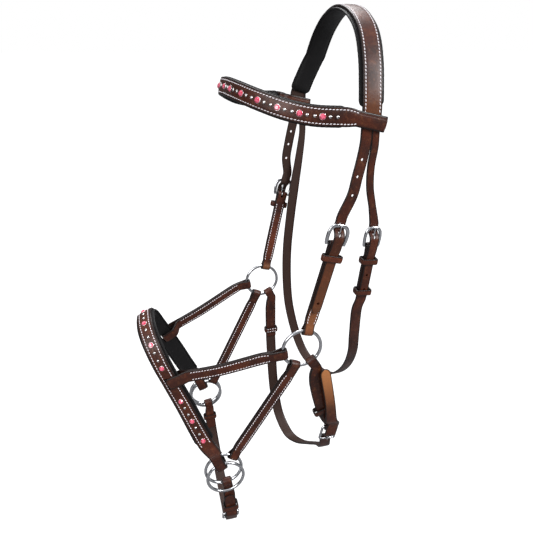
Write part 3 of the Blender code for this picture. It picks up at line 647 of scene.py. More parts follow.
def stitchShape(tree, given):
    ball = addNode(tree, "GeometryNodeMeshUVSphere", {"Segments": 8, "Rings": 6, "Radius": 0.5})
    size = addNode(tree, "ShaderNodeCombineXYZ", {0: given["Length"], 1: given["Thickness"],
                                                  2: given["Thickness"]})
    slant = addNode(tree, "ShaderNodeCombineXYZ", {2: given["Slant"]})
    sunk = addNode(tree, "GeometryNodeTransform", {"Geometry": ball.outputs[0], "Scale": size.outputs[0],
                                                   "Rotation": slant.outputs[0]})
    smooth = addNode(tree, "GeometryNodeSetShadeSmooth", {"Geometry": sunk.outputs[0]})
    return smooth.outputs[0], None


def everyThird(tree, given, wanted):
    index = addNode(tree, "GeometryNodeSplineParameter")
    moved = addNode(tree, "ShaderNodeMath", {0: index.outputs["Index"], 1: given["Shift"]}, operation="ADD")
    third = addNode(tree, "ShaderNodeMath", {0: moved.outputs[0], 1: 3.0}, operation="MODULO")
    return addNode(tree, "ShaderNodeMath", {0: third.outputs[0], 1: 0.5},
                   operation="LESS_THAN" if wanted == "stone" else "GREATER_THAN").outputs[0]


def stoneShape(tree, given):
    crown = addNode(tree, "GeometryNodeMeshCone", {"Vertices": 8, "Side Segments": 1, "Radius Top": 0.30,
                                                   "Radius Bottom": 0.5, "Depth": 0.26})
    girdle = addNode(tree, "GeometryNodeMeshCone", {"Vertices": 16, "Radius Top": 0.5, "Radius Bottom": 0.5,
                                                    "Depth": 0.2})
    low = addNode(tree, "GeometryNodeTransform", {"Geometry": girdle.outputs[0],
                                                  "Translation": (0, 0, -0.19)})
    both = addNode(tree, "GeometryNodeJoinGeometry")
    tree.links.new(crown.outputs[0], both.inputs[0])
    tree.links.new(low.outputs[0], both.inputs[0])
    size = addNode(tree, "ShaderNodeCombineXYZ", {0: given["Diameter"], 1: given["Diameter"],
                                                  2: given["Diameter"]})
    up = addNode(tree, "ShaderNodeCombineXYZ", {2: given["Lift"]})
    scaled = addNode(tree, "GeometryNodeTransform", {"Geometry": both.outputs[0], "Scale": size.outputs[0],
                                                     "Translation": up.outputs[0]})
    # painted reflection: a random value per facet, which the crystal material turns into facet brightness
    dice = addNode(tree, "FunctionNodeRandomValue", {"Seed": 4}, data_type="FLOAT")
    marked = addNode(tree, "GeometryNodeStoreNamedAttribute",
                     {"Geometry": scaled.outputs[0], "Name": "facetGlint"},
                     data_type="FLOAT", domain="FACE")
    tree.links.new(dice.outputs[1], marked.inputs["Value"])
    return marked.outputs[0], everyThird(tree, given, "stone")


def cupShape(tree, given):
    ring = addNode(tree, "GeometryNodeCurvePrimitiveCircle", {"Resolution": 24, "Radius": 0.44})
    wire = addNode(tree, "GeometryNodeCurvePrimitiveCircle", {"Resolution": 8, "Radius": 0.06})
    tube = addNode(tree, "GeometryNodeCurveToMesh",
                   {"Curve": ring.outputs[0], "Profile Curve": wire.outputs[0]})
    size = addNode(tree, "ShaderNodeCombineXYZ", {0: given["Diameter"], 1: given["Diameter"],
                                                  2: given["Diameter"]})
    up = addNode(tree, "ShaderNodeCombineXYZ", {2: given["Lift"]})
    scaled = addNode(tree, "GeometryNodeTransform", {"Geometry": tube.outputs[0], "Scale": size.outputs[0],
                                                     "Translation": up.outputs[0]})
    smooth = addNode(tree, "GeometryNodeSetShadeSmooth", {"Geometry": scaled.outputs[0]})
    return smooth.outputs[0], everyThird(tree, given, "stone")


def studShape(tree, given):
    ball = addNode(tree, "GeometryNodeMeshUVSphere", {"Segments": 16, "Rings": 10, "Radius": 0.5})
    tall = addNode(tree, "ShaderNodeMath", {0: given["Diameter"], 1: 0.75}, operation="MULTIPLY")
    size = addNode(tree, "ShaderNodeCombineXYZ", {0: given["Diameter"], 1: given["Diameter"],
                                                  2: tall.outputs[0]})
    dome = addNode(tree, "GeometryNodeTransform", {"Geometry": ball.outputs[0], "Scale": size.outputs[0]})
    smooth = addNode(tree, "GeometryNodeSetShadeSmooth", {"Geometry": dome.outputs[0]})
    return smooth.outputs[0], everyThird(tree, given, "stud")


number = "NodeSocketFloat"
stitchTree = rowTree("stitchRow", [("Pitch", "INPUT", number, 0.004), ("Length", "INPUT", number, 0.003),
                                   ("Thickness", "INPUT", number, 0.001), ("Slant", "INPUT", number, 0.1)],
                                   stitchShape)
trimInputs = [("Pitch", "INPUT", number, 0.0075), ("Diameter", "INPUT", number, 0.006),
              ("Lift", "INPUT", number, 0.0),
              ("Shift", "INPUT", number, 0.0)]
stoneTree = rowTree("stoneRow", trimInputs, stoneShape)
cupTree = rowTree("cupRow", trimInputs, cupShape)
studTree = rowTree("studRow", trimInputs, studShape)

stitching = {"Pitch": 0.0037, "Length": 0.0030, "Thickness": 0.00108, "Slant": 0.16}
trim = {"browPitch": 0.0079, "nosePitch": 0.0088, "stone": 0.0062, "cup": 0.0072, "stud": 0.0038}
stitchRows, trimRows = {}, {}


def rowOn(line, offset=None, inset=None, lift=0.0, start=0.0, end=0.0, back=False):
    # a guide line on a strap's face; offset is from the middle, inset from its edge (minus for the far edge)
    run = arcLengths(line["path"])
    points = []
    for s, p, w, n, wide in zip(run, line["path"], line["wide"], line["out"], line["widths"]):
        if start <= s <= run[-1] - end:
            shift = offset if inset is None else math.copysign(wide / 2 - abs(inset), inset)
            n = -n if back else n
            points.append((p + w * shift + n * lift, n))
    return points


def addRows(store, body, *rows):
    store.setdefault(body, []).extend(r for r in rows if len(r) > 1)


def runTree(name, rows, tree, values, finish):
    verts, facing, edges = [], [], []
    for row in rows:
        first = len(verts)
        for p, n in row:
            verts.append(tuple(p))
            facing += list(n)
        edges += [(k, k + 1) for k in range(first, len(verts) - 1)]
    mesh = bpy.data.meshes.new(name + "Guide")
    mesh.from_pydata(verts, edges, [])
    mesh.attributes.new("facing", "FLOAT_VECTOR", "POINT").data.foreach_set("vector", facing)
    guide = bpy.data.objects.new(name + "Guide", mesh)
    bpy.context.scene.collection.objects.link(guide)
    mod = guide.modifiers.new("row", "NODES")
    mod.node_group = tree
    for item in tree.interface.items_tree:
        if item.item_type == "SOCKET" and item.in_out == "INPUT" and item.name in values:
            mod[item.identifier] = values[item.name]
        if item.item_type == "SOCKET" and item.in_out == "INPUT" and item.name == "Finish":
            mod[item.identifier] = finish
    bpy.context.view_layer.update()
    graph = bpy.context.evaluated_depsgraph_get()
    made = bpy.data.meshes.new_from_object(guide.evaluated_get(graph))
    guide.modifiers.clear()
    bpy.data.objects.remove(guide)
    made.name = name
    obj = bpy.data.objects.new(name, made)
    bpy.context.scene.collection.objects.link(obj)
    return obj


def settle(obj, body, slot, *nodes):
    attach(obj, body)
    if nodes:
        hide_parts(*nodes)
    return obj


# rings
def boxMiddle(node):
    low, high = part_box(node)
    return (low + high) / 2


ringLow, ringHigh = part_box("near_cheek_ring")
ringWire = (ringHigh.x - ringLow.x) / math.cos(math.pi / 8)  # the frame's wire has eight flat sides
ringRadius = (ringHigh.z - ringLow.z) / 2 - ringWire / 2 * math.cos(math.tau / 16)
cheekRingAt = boxMiddle("near_cheek_ring")
noseRingAt = boxMiddle("near_nose_ring")
reinRingAt = boxMiddle("near_rein_ring")


def makeRing(node, name, body):
    centre = boxMiddle(node)
    around, sides = 96, 20
    verts, faces = [], []
    for i in range(around):
        turn = math.tau * i / around
        spoke = Vector((0, math.cos(turn), math.sin(turn)))
        for k in range(sides):
            lift = math.tau * k / sides
            reach = ringRadius + ringWire / 2 * math.cos(lift)
            verts.append(centre + spoke * reach + sideAxis * ringWire / 2 * math.sin(lift))
            j, m = (i + 1) % around, (k + 1) % sides
            faces.append((i * sides + k, i * sides + m, j * sides + m, j * sides + k))
    settle(meshObject(name, verts, faces, steel), body, "steel", node)


for word in ("near", "far"):
    for part in ("cheek", "nose", "rein"):
        makeRing("%s_%s_ring" % (word, part), "%s%sRing" % (word, part.title()), "%s_%s_ring" % (word, part))
print("rings ready, radius", round(ringRadius, 4))


def loopSag(width):
    return ringRadius - math.sqrt(ringRadius ** 2 - (width / 2) ** 2)


loopWidth = leatherCut["loopWidth"]
ringFold = ringWire / 2 + loopSag(loopWidth) / 2 + clearance * 1.5


def ringPlace(centre, angle):
    turn = math.radians(angle)
    spoke = Vector((0, math.sin(turn), -math.cos(turn)))
    return Place(centre + spoke * (ringRadius - loopSag(loopWidth) / 2), spoke, sideAxis)


# buckles
horseshoe = [(0.0, 1.0), (0.25, 1.06), (0.55, 1.06), (0.80, 0.93), (0.95, 0.62), (1.0, 0.25)]
squared = [(0.0, 1.0), (0.40, 1.0), (0.88, 1.0), (0.985, 0.95), (1.0, 0.84), (1.0, 0.25)]


def makeBuckle(word, node, place, width, bow, side, body, tongueBody):
    inside = width / 2 + hardware["buckleEase"]
    mid = inside + side / 2
    length, thick, bar = hardware["frameLength"], hardware["frameThick"], hardware["barRadius"]
    outline = bow + [(t, -w) for t, w in reversed(bow)]
    corners = [place.point(t * length, 0, mid * w) for t, w in outline]
    path = smoothPath(corners, 0.0011)[0]
    barPath = [place.point(0, 0, mid * w) for w in (-0.8, -0.45, 0, 0.45, 0.8)]
    sections = [roundSection(side / 2, thick / 2, 20, 0.72)] * len(path) + [roundSection(bar, bar, 20,
                                                                                         1.0)] * len(barPath)
    path = path + barPath
    along = tangentsOf(path, True)
    wide = [t.cross(place.out).normalized() for t in along]
    frameRing = skin(word + "Buckle", path, wide, [place.out] * len(path), sections, steel, closed=True,
                     sharp=80)
    settle(frameRing, body, "steel", node + "_buckle")
    wrap = bar + clearance + hardware["tongueThick"] / 2
    lift = thick / 2 + clearance + hardware["tongueThick"] / 2
    path = place.arc(wrap, -35, -270, 24)
    straight = [place.point(0.003, wrap + 0.0001), place.point(0.010, wrap * 0.5 + lift * 0.5),
                place.point(length - 0.002, lift + 0.0001), place.point(length + 0.0016, lift + 0.0001)]
    path += smoothPath(straight, 0.0012)[0]
    count = len(path)
    half = hardware["tongueWidth"] / 2
    sections = []
    for i in range(count):
        left = (count - 1 - i) / 4
        taper = 1.0 - 0.30 * max(0, i - 24) / (count - 24)
        blunt = math.sqrt(max(0.12, 1 - (1 - min(1, left)) ** 2))
        sections.append(roundSection(half * taper * blunt, hardware["tongueThick"] / 2 * blunt, 16, 0.85))
    along = tangentsOf(path)
    wide = [squareTo(place.across, t) for t in along]
    out = [w.cross(t) for w, t in zip(wide, along)]
    tongue = skin(word + "Tongue", path, wide, out, sections, steel, sharp=80)
    settle(tongue, tongueBody, "steel", node + "_tongue")


# straps
def throughBuckle(place):
    length = hardware["frameLength"]
    steps = [(length + 0.012, underBow - 0.0001), (length + 0.004, underBow - 0.0001),
             (length - 0.0036, underBow - 0.0001), (0.0158, -0.0008), (0.0130, 0.0034),
             (0.0092, overFold + 0.0004), (0.0040, overFold + 0.0004), (-0.0050, overFold)]
    return [place.point(t, n) for t, n in steps]


def onTop(place, *backs):
    return [place.point(-back, onStrap) for back in backs]


def roundWrap(fold):
    reach = fold + strapThick / 2
    turns = [math.radians(60 + 10 * k) for k in range(25)]
    return [(reach * math.cos(a), reach * math.sin(a)) for a in turns]


def middleLine(head, headFold, route, tail, tailReach, step):
    first = head.point(headFold + strapThick / 2 + 0.009, 0)
    return smoothPath([first] + route + [tail.point(tailReach + 0.006, 0)], step)


def eased(t):
    return t * t * (3 - 2 * t)


def doubledStrap(name, head, headFold, headWidth, tail, tailWrap, tailWidth, route, width, look, material,
                 paintedLight=None):
    headRadius = headFold + strapThick / 2
    path, marks = middleLine(head, headFold, route, tail, max(t for t, n in tailWrap), station)
    along = tangentsOf(path)
    outs = spread([head.out] + [head.out.lerp(tail.out, 0.5)] * len(route) + [tail.out], marks)
    outs = [squareTo(n, t) for n, t in zip(outs, along)]
    mids = [sameWay(t.cross(n), head.across) for t, n in zip(along, outs)]
    headArc = head.arc(headRadius, 300, 60, 26)
    tailArc = [tail.point(t, n) for t, n in tailWrap]
    # the two layers part gently on their way into each fold
    run = arcLengths(path)
    swell = []
    for s in run:
        near = min(s, run[-1] - s)
        swell.append(halfGap + 0.0003 * (1 - eased(min(1, near / 0.010))))
    outer = [p + n * g for p, n, g in zip(path, outs, swell)]
    inner = [p - n * g for p, n, g in zip(path, outs, swell)]
    loop = headArc + outer + tailArc + inner[::-1]
    tailAcross = sameWay(tail.across, mids[-1])
    across = [head.across] * len(headArc) + mids + [tailAcross] * len(tailArc) + mids[::-1]
    grow = []
    for s in run:
        fromHead, fromTail = eased(min(1, s / 0.011)), eased(min(1, (run[-1] - s) / 0.011))
        grow.append(min(headWidth + (width - headWidth) * fromHead,
                        tailWidth + (width - tailWidth) * fromTail))
    widths = [headWidth] * len(headArc) + grow + [tailWidth] * len(tailArc) + grow[::-1]
    hints = [None] * len(headArc) + outs + [None] * len(tailArc) + [-n for n in outs][::-1]
    paintedLights = None
    if paintedLight:
        level = [paintedLight(s / run[-1]) for s in run]
        folds = [[level[k] * 0.6] * len(arc) for k, arc in ((0, headArc), (-1, tailArc))]
        paintedLights = folds[0] + level + folds[1] + [0.0] * len(level)
    obj, _ = ribbon(name, loop, across, widths, strapThick, look, material, hints, closed=True, paintedLight=paintedLights)
    line = {"path": path, "wide": mids, "out": outs, "widths": grow}
    return obj, line


def sewDoubled(body, line, inset=0.0028, start=0.004, end=0.004):
    for face in (False, True):
        for edge in (inset, -inset):
            addRows(stitchRows, body, rowOn(line, inset=edge, lift=doubleFace + 0.0001, start=start,
                                            end=end, back=face))


def openStrap(name, points, across, widths, thick, look, material, outHint, endTip=0.0, paintedLight=None,
              step=station):
    path, marks = smoothPath(points, step)
    hints = spread([Vector(a) for a in across], marks)
    wide = spread(widths, marks)
    if endTip:
        path, (hints, wide) = addTipStations(path, [hints, wide], endTip)
        wide = tipped(path, wide, endTip)
    paintedLights = None
    if paintedLight:
        run = arcLengths(path)
        paintedLights = [paintedLight(s / run[-1]) for s in run]
    return ribbon(name, path, hints, wide, thick, look, material, outHint, paintedLight=paintedLights)


sewnIn = clearance + strapThick * 0.4  # a keeper whose back lies between the two layers of its strap


def keeperBand(name, place, width, low, high, length=0.008, material=None):
    band = strapThick * 0.8
    hw = width / 2 + clearance + band / 2
    top, base = high + clearance + band / 2, low - clearance - band / 2
    r = min(0.0022, (top - base) * 0.42)
    outline = []
    for cx, cy, start in ((hw - r, top - r, 90), (hw - r, base + r, 0), (-hw + r, base + r, -90),
                          (-hw + r, top - r, 180)):
        for k in range(7):
            turn = math.radians(start - 15 * k)
            outline.append((cx + r * math.cos(turn), cy + r * math.sin(turn)))
    pts = []
    for (w1, n1), (w2, n2) in zip(outline, outline[1:] + outline[:1]):
        count = max(1, round(math.hypot(w2 - w1, n2 - n1) / 0.0018))
        for k in range(count):
            w, n = w1 + (w2 - w1) * k / count, n1 + (n2 - n1) * k / count
            pts.append(place.point(0, n, w))
    middle = place.point(0, (top + base) / 2)
    hints = [(p - middle).normalized() for p in pts]
    look = {"inset": 0.0013, "crease": 0.00012, "dome": 0.00035}
    obj, _ = ribbon(name, pts, [place.along] * len(pts), [length] * len(pts), band, look,
                    material or leather, hints,
                    closed=True)
    return obj


# crown
crownLook = {
    "padWidth": 0.0285, "padThick": 0.005, "inset": 0.0029, "crease": 0.00022, "dome": 0.0003,
    "flange": 0.0030, "lip": 0.0009,
}
crownThick = leatherCut["crownThick"]
crownLine = [(0.0, 0.0, crownLook["padThick"] + clearance + crownThick / 2), (0.030, 0.0, 0.0020),
             (0.055, 0.0, -0.0100), (0.073, -0.001, -0.0260), (0.088, -0.003, -0.0490),
             (0.0965, -0.0045, -0.0720), (legX - 0.001, -0.005, -0.0860)]
cheekTailLine = [(legX, -0.0095, -0.1120), (legX, -0.0096, -0.1280), (0.1015, -0.0125, -0.1460),
                 (0.1030, -0.0170, -0.1640), (0.1045, -0.0220, -0.1840)]
farTailLine = [(-legX, -0.0255, -0.1120), (-legX, -0.0258, -0.1280), (-0.1020, -0.0290, -0.1460),
               (-0.1035, -0.0320, -0.1640), (-0.1050, -0.0345, -0.1840)]
cheekBarAt = Vector((0.107, -0.040, -0.238))
cheekLoopAngle, upperLoopAngle, lowerLoopAngle, jawLoopAngle, farJawLoopAngle = 165, -80, -23, 33, 27
noseLowerLoopAngle, chinLoopAngle = 145, 9


def crownPath(line, offset):
    whole = [mirrored(p) for p in reversed(line[1:])] + [Vector(p) for p in line]
    path = [lean(p) for p in smoothPath(whole, station)[0]]
    outs = [sameWay(t.cross(backAxis).normalized(), p + Vector((0, 0, 0.12))) for p,
            t in zip(path, tangentsOf(path))]
    return [p + n * offset for p, n in zip(path, outs)], outs


def cheekPlace(side):
    foot = ringPlace(cheekRingAt, cheekLoopAngle).at
    return Place(cheekBarAt, cheekBarAt - foot, sideAxis).sided(side)


def makePad(name, path, across, outs, look, body, node, pitch=0.0041, cutters=()):
    widths = []
    run = arcLengths(path)
    for s in run:  # the sewn edge draws in a little at each stitch
        end = min(s, run[-1] - s)
        rounding = math.sqrt(max(0.10, 1 - max(0, 1 - end / 0.006) ** 2))
        widths.append(look["padWidth"] * (1 - 0.006 * math.sin(math.tau * s / pitch)) * (0.55 + 0.45
                                                                                         * rounding))
    along = tangentsOf(path)
    wide = [squareTo(a, t) for a, t in zip(across, along)]
    out = [sameWay(w.cross(t), o) for w, t, o in zip(wide, along, outs)]
    sections = []
    for s, w in zip(run, widths):
        end = min(s, run[-1] - s)
        puff = math.sqrt(max(0.12, 1 - max(0, 1 - end / 0.009) ** 2))
        breathe = 1 + 0.035 * math.sin(s * 140) * math.sin(s * 61 + 1)
        points = []
        for a, b, e, f in padSection(w, look["padThick"], look):
            roof = look["padThick"] / 2
            depth = (roof - b) * (puff * breathe if b < roof - 0.002 else 1)
            points.append((a, roof - min(depth, look["padThick"]), e, f))
        sections.append(points)
    obj = skin(name, path, wide, out, sections, padding, sharp=70)
    if cutters:
        cutWith(obj, cutters)
    settle(obj, body, "padding", node)
    return obj, {"path": path, "wide": wide, "out": out, "widths": widths}


legs = crownLine + [(legX, -0.005, -0.0970), (legX, -0.005, -0.1085)]
path, outs = crownPath(legs, 0.0)
run = arcLengths(path)
# painted light: the crown band is lightened toward its near-side leg end
paintedLights = [0.16 * eased(max(0, 1 - (run[-1] - s) / 0.05)) for s in run]
band, bandLine = ribbon("crownBand", path, [backAxis] * len(path), [leatherCut["crownWidth"]] * len(path),
                        crownThick,
                        crownLook, leather, outs, paintedLight=paintedLights)
settle(band, "crown", "leather", "crown_strap")
for edge in (crownLook["inset"], -crownLook["inset"]):
    addRows(stitchRows, "crown", rowOn(bandLine, inset=edge, lift=crownThick / 2 + 0.0001, start=0.0115,
                                       end=0.0115))
path, outs = crownPath(crownLine + [(legX, -0.005, -0.0920)],
                       -(crownThick + crownLook["padThick"]) / 2 - clearance)
makePad("crownPad", path, [backAxis] * len(path), outs, crownLook, "crown", "crown_pad")

cheekLook = {"inset": 0.0016, "crease": 0.00022, "dome": 0.00025, "tip": 0.0085}
for side, word in ((1, "near"), (-1, "far")):
    place = cheekPlace(side)
    top = [Vector(p) for p in (cheekTailLine if side > 0 else farTailLine)]
    start = Vector((top[0].x, top[0].y + 0.0002, -0.1030))
    points = [start] + top + throughBuckle(place) + onTop(place, 0.0125, 0.024, 0.040, 0.058, 0.0765, 0.0885)
    across = [backAxis] * 3 + [sameWay(place.across, backAxis)] * (len(points) - 3)
    widths = [leatherCut["cheekWidth"]] * len(points)
    # painted light: each cheek billet is lightened toward its tail end
    billet, line = openStrap(word + "CheekBillet", points, across, widths, strapThick, cheekLook, leather,
                             place.out, endTip=cheekLook["tip"],
                             paintedLight=lambda u: 0.14 * eased(max(0, (u - 0.45) / 0.55)))
    cutters = [billetSlot(place)]
    cutters += [punch(place, -0.0745, onStrap)]
    cutters += [punch(Place(top[k], place.along, place.out), 0, 0) for k in (2, 3, 4)]
    settle(cutWith(billet, cutters), "crown", "leather", "crown_strap")
print("crown ready")

# cheekpieces, with the rings' upper loops
cheekpieceLook = {"inset": 0.0024, "crease": 0.0002, "dome": 0.0002}
for side, word in ((1, "near"), (-1, "far")):
    place = cheekPlace(side)
    foot = ringPlace(cheekRingAt, cheekLoopAngle).sided(side)
    width = leatherCut["cheekpieceWidth"]
    # painted light: the cheekpieces and their keepers use the brighter lit copy of the leather, and each
    # cheekpiece is lightened further toward its ring
    strap, line = doubledStrap(word + "Cheekpiece", place.reversed(), barFold, width, foot,
                               roundWrap(ringFold),
                               loopWidth, [], width, cheekpieceLook, leatherLit,
                               paintedLight=lambda u: 0.35 * eased(u))
    settle(cutWith(strap, [foldSlot(place)]), "crown", "leather", word + "_cheekpiece")
    sewDoubled("crown", line, inset=0.0026, start=0.004, end=0.003)
    makeBuckle(word + "Cheek", word + "_cheek", place, width, horseshoe, hardware["frameSide"], "crown",
               word + "_cheek_tongue")
    hold = Place(place.point(-0.0165, 0), place.along, place.out)
    keeper = keeperBand(word + "CheekKeeper", hold, width + 2 * leatherCut["keeperEase"], sewnIn, billetFace,
                        material=leatherLit)
    settle(keeper, "crown", "leather", word + "_cheek_keeper")
print("cheekpieces ready")

# browband
browLook = {
    "width": 0.0165, "middle": 0.0200, "thick": 0.0024, "padWidth": 0.022, "padThick": 0.005,
    "height": -0.107, "slope": 0.225, "sag": 0.0075, "inset": 0.0029, "trimEnd": 0.0215, "crease": 0.0003,
    "dome": 0.0007,
    "flange": 0.0026, "lip": 0.0010,
}
browLine = [(0.1042, -0.0345), (0.0980, -0.067), (0.0860, -0.095), (0.0640, -0.120), (0.0420, -0.133),
            (0.0200, -0.1385), (0.0, -0.1395)]


def browLift(x, y):
    sag = browLook["sag"] * math.sin(math.pi * min(max((-0.03 - y) / 0.11, 0.0), 1.0))
    return lean(Vector((x, y, browLook["height"] - browLook["slope"] * (y + 0.005) - sag)))


thick = browLook["thick"]
legClearance = leatherCut["legClearance"]
inner = legX - crownThick / 2 - legClearance - thick / 2
outer = legX + crownThick / 2 + legClearance + thick / 2
room = browLook["width"] / 2 * browLook["slope"] + legClearance * 2
rear = -0.005 + leatherCut["crownWidth"] / 2 + room + thick / 2
front = -0.005 - leatherCut["crownWidth"] / 2 - room
lap = outer - thick - leatherCut["layerGap"]
wrap = [(lap + 0.0002, front - 0.0125), (lap, front - 0.0070), (inner, front + 0.0012), (inner, rear - 0.004),
        (inner + 0.0010, rear - 0.0012), (legX, rear), (outer - 0.0010, rear - 0.0012),
        (outer, rear - 0.004), (outer, front + 0.003), (outer, front - 0.003)]
half = wrap + browLine
points = [browLift(x, y) for x, y in half] + [browLift(-x, y) for x, y in reversed(half[:-1])]
browUp = Vector((0, browLook["slope"], 1)).normalized()
widths = [browLook["width"]] * len(wrap) + [browLook["middle"]] * len(browLine)
path, marks = smoothPath(points)
headMiddle = Vector((0, -0.02, 0))
hints = [None if m < len(wrap) - 1 or m > len(points) - len(wrap)
         else squareTo(p - headMiddle, Vector((0, 0, 1)))
         for p, m in zip(path, marks)]
browband, browbandLine = ribbon("browband", path, [browUp] * len(path),
                                spread(widths + widths[-2::-1], marks),
                                thick, browLook, leather, hints)
settle(browband, "browband", "leather", "browband_strap")
kept = [k for k, m in enumerate(marks) if len(wrap) - 1 <= m <= len(points) - len(wrap)]
frontLine = {key: [browbandLine[key][k] for k in kept] for key in ("path", "wide", "out", "widths")}
for edge in (browLook["inset"], -browLook["inset"]):
    addRows(stitchRows, "browband", rowOn(frontLine, inset=edge, lift=thick / 2 + 0.0002, start=0.001,
                                          end=0.001))


def exactRow(line, lift, low, high):
    # a guide between two places measured along the line, with its end points exactly there
    run = arcLengths(line["path"])
    points = []
    for i in range(len(run) - 1):
        for mark in (low, high):
            if run[i] <= mark < run[i + 1] and (mark == low or points):
                t = (mark - run[i]) / (run[i + 1] - run[i])
                n = line["out"][i].lerp(line["out"][i + 1], t).normalized()
                points.append((line["path"][i].lerp(line["path"][i + 1], t) + n * lift, n))
        if low < run[i + 1] < high:
            points.append((line["path"][i + 1] + line["out"][i + 1] * lift, line["out"][i + 1]))
    return points


browRun = arcLengths(frontLine["path"])[-1]
room = browRun - 2 * browLook["trimEnd"]
count = 3 * round((room / trim["browPitch"] - 1) / 3) + 1  # steps from the first stud to the last
trimRows["browband"] = {"pitch": room / count, "shift": 1.0, "rows": [
    exactRow(frontLine, thick / 2 + browLook["dome"], browLook["trimEnd"], browRun - browLook["trimEnd"])]}

points = [browLift(x, y) for x, y in browLine] + [browLift(-x, y) for x, y in reversed(browLine[:-1])]
path = smoothPath(points)[0]
offset = (thick + browLook["padThick"]) / 2 + clearance
inwards = [browUp.cross(t).normalized() for t in tangentsOf(path)]
path = [p - n * offset for p, n in zip(path, inwards)]
makePad("browPad", path, [browUp] * len(path), inwards, browLook, "browband", "browband_pad")
print("browband ready")

# noseband
noseLook = {
    "width": 0.021, "thick": 0.003, "padWidth": 0.0265, "padThick": 0.006, "padEnd": -0.5125,
    "loopWidth": 0.015, "slitAt": -0.0035,
    "trimBelow": 0.0285, "trimAbove": 0.0225,
    "inset": 0.0042, "crease": 0.0003, "dome": 0.0006, "flange": 0.0032, "lip": 0.0012,
}
noseLine = [(0.0, -0.2570, -0.3600), (0.022, -0.2560, -0.3645), (0.041, -0.2510, -0.3780),
            (0.0525, -0.2430, -0.4000), (0.0605, -0.2325, -0.4250), (0.0690, -0.2185, -0.4580),
            (0.0770, -0.2060, -0.4890), (0.0840, -0.1960, -0.5120)]
noseAcross = [(0.0, 0.90, 0.43), (0.08, 0.90, 0.42), (0.16, 0.90, 0.40), (0.22, 0.89, 0.39),
              (0.25, 0.89, 0.38), (0.22, 0.91, 0.36), (0.15, 0.93, 0.35), (0.05, 0.94, 0.34)]
noseThick = noseLook["thick"]
noseHalf = (noseThick + leatherCut["layerGap"]) / 2
noseEyeLong = 0.0101 + noseThick / 2
noseEyeOut = (reinRingAt.x - noseRingAt.x + ringWire) / 2 + clearance * 1.5 + noseThick / 2


def noseEnd(side):
    turn = math.radians(200)
    spoke = Vector((0, math.sin(turn), -math.cos(turn)))
    at = noseRingAt + spoke * ringRadius - spoke * 0.0058
    at.x = (noseRingAt.x + reinRingAt.x) / 2
    return Place(at, spoke, sideAxis).sided(side)


def noseWrap(place):
    long, out = noseEyeLong, noseEyeOut
    steps = [(0.024, -noseHalf), (0.0185, -noseHalf - 0.0008), (long - 0.0015, -out),
             (-long + 0.005, -out), (-long + 0.0012, -out * 0.70), (-long, 0.0), (-long + 0.0012, out * 0.70),
             (-long + 0.005, out), (long - 0.0015, out), (0.0185, noseHalf + 0.0008)]
    return [place.point(t, n) for t, n in steps]


near, far = noseEnd(1), noseEnd(-1)
main = [Vector(p) for p in noseLine]
turns = [Vector(a) for a in noseAcross]
whole = list(reversed(main)) + [mirrored(p) for p in main[1:]]
wholeAcross = list(reversed(turns)) + [mirrored(a) for a in turns[1:]]
first, last = noseWrap(near), noseWrap(far)[::-1]
points = first + whole + last
across = [sameWay(near.across, turns[-1])] * len(first) + wholeAcross + [sameWay(far.across,
                                                                                 turns[-1])] * len(last)
ends = [noseLook["loopWidth"]] * (len(first) - 1) + [noseLook["width"] * 0.92]
path, marks = smoothPath(points, 0.0018)
noseMiddle = Vector((0, -0.16, -0.44))
hints = [p - noseMiddle if len(first) <= m <= len(first) + len(whole) - 1 else None for p,
         m in zip(path, marks)]
wide = spread(ends + [noseLook["width"]] * len(whole) + ends[::-1], marks)
noseband, nosebandLine = ribbon("noseband", path, spread(across, marks), wide, noseThick, noseLook, leather,
                                hints)
kept = [k for k, m in enumerate(marks) if len(first) - 0.2 <= m <= len(first) + len(whole) - 0.8]
frontLine = {key: [nosebandLine[key][k] for k in kept] for key in ("path", "wide", "out", "widths")}
noseRun = arcLengths(frontLine["path"])[-1]


def runAt(line, height):
    # how far along the near half the strap passes this height
    run = arcLengths(line["path"])
    return min((abs(p.z - height), s) for p, s in zip(line["path"], run) if p.x > 0)[1]


def noseHold(side):
    k = 4
    at = Vector(noseLine[k])
    along = (Vector(noseLine[k + 1]) - Vector(noseLine[k - 1])).normalized()
    back = squareTo(noseAcross[k], along)
    out = sameWay(along.cross(back), sideAxis)
    return Place(at, back, out).sided(side)


def slitCutters():
    half = leatherCut["sideWidth"] / 2 + 0.0006
    at = noseLook["slitAt"]
    return [slotCutter(noseHold(side), (at - 0.0021, -0.0130, -half), (at + 0.0029, 0.0045, half), 0.0016)
            for side in (1, -1)]


settle(cutWith(noseband, slitCutters()), "noseband", "leather", "noseband_strap")
crossAt = runAt(frontLine, noseLine[4][2])
gap = leatherCut["sideWidth"] / 2 + 0.0012
lift = noseThick / 2 + 0.0002
addRows(stitchRows, "noseband", rowOn(frontLine, inset=-noseLook["inset"], lift=lift, start=0.001, end=0.001))
for low, high in ((0.001, crossAt - gap), (crossAt + gap, noseRun - crossAt - gap),
                  (noseRun - crossAt + gap, noseRun - 0.001)):
    addRows(stitchRows, "noseband", rowOn(frontLine, inset=noseLook["inset"], lift=lift, start=low,
                                          end=noseRun - high))
padLine, padMarks = smoothPath(whole, station)
hints = spread(wholeAcross, padMarks)
offset = (noseThick + noseLook["padThick"]) / 2 + clearance * 2
along = tangentsOf(padLine)
inward = [sameWay(squareTo(h, t).cross(t), noseMiddle - p) for h, t, p in zip(hints, along, padLine)]
kept = [k for k, p in enumerate(padLine) if p.z > noseLook["padEnd"]]
makePad("nosePad", [padLine[k] + inward[k] * offset for k in kept], [hints[k] for k in kept],
        [-inward[k] for k in kept], noseLook, "noseband", "noseband_pad", cutters=slitCutters())
pitch = trim["nosePitch"]
lift = noseThick / 2 + noseLook["dome"]
lower = crossAt - noseLook["trimBelow"]
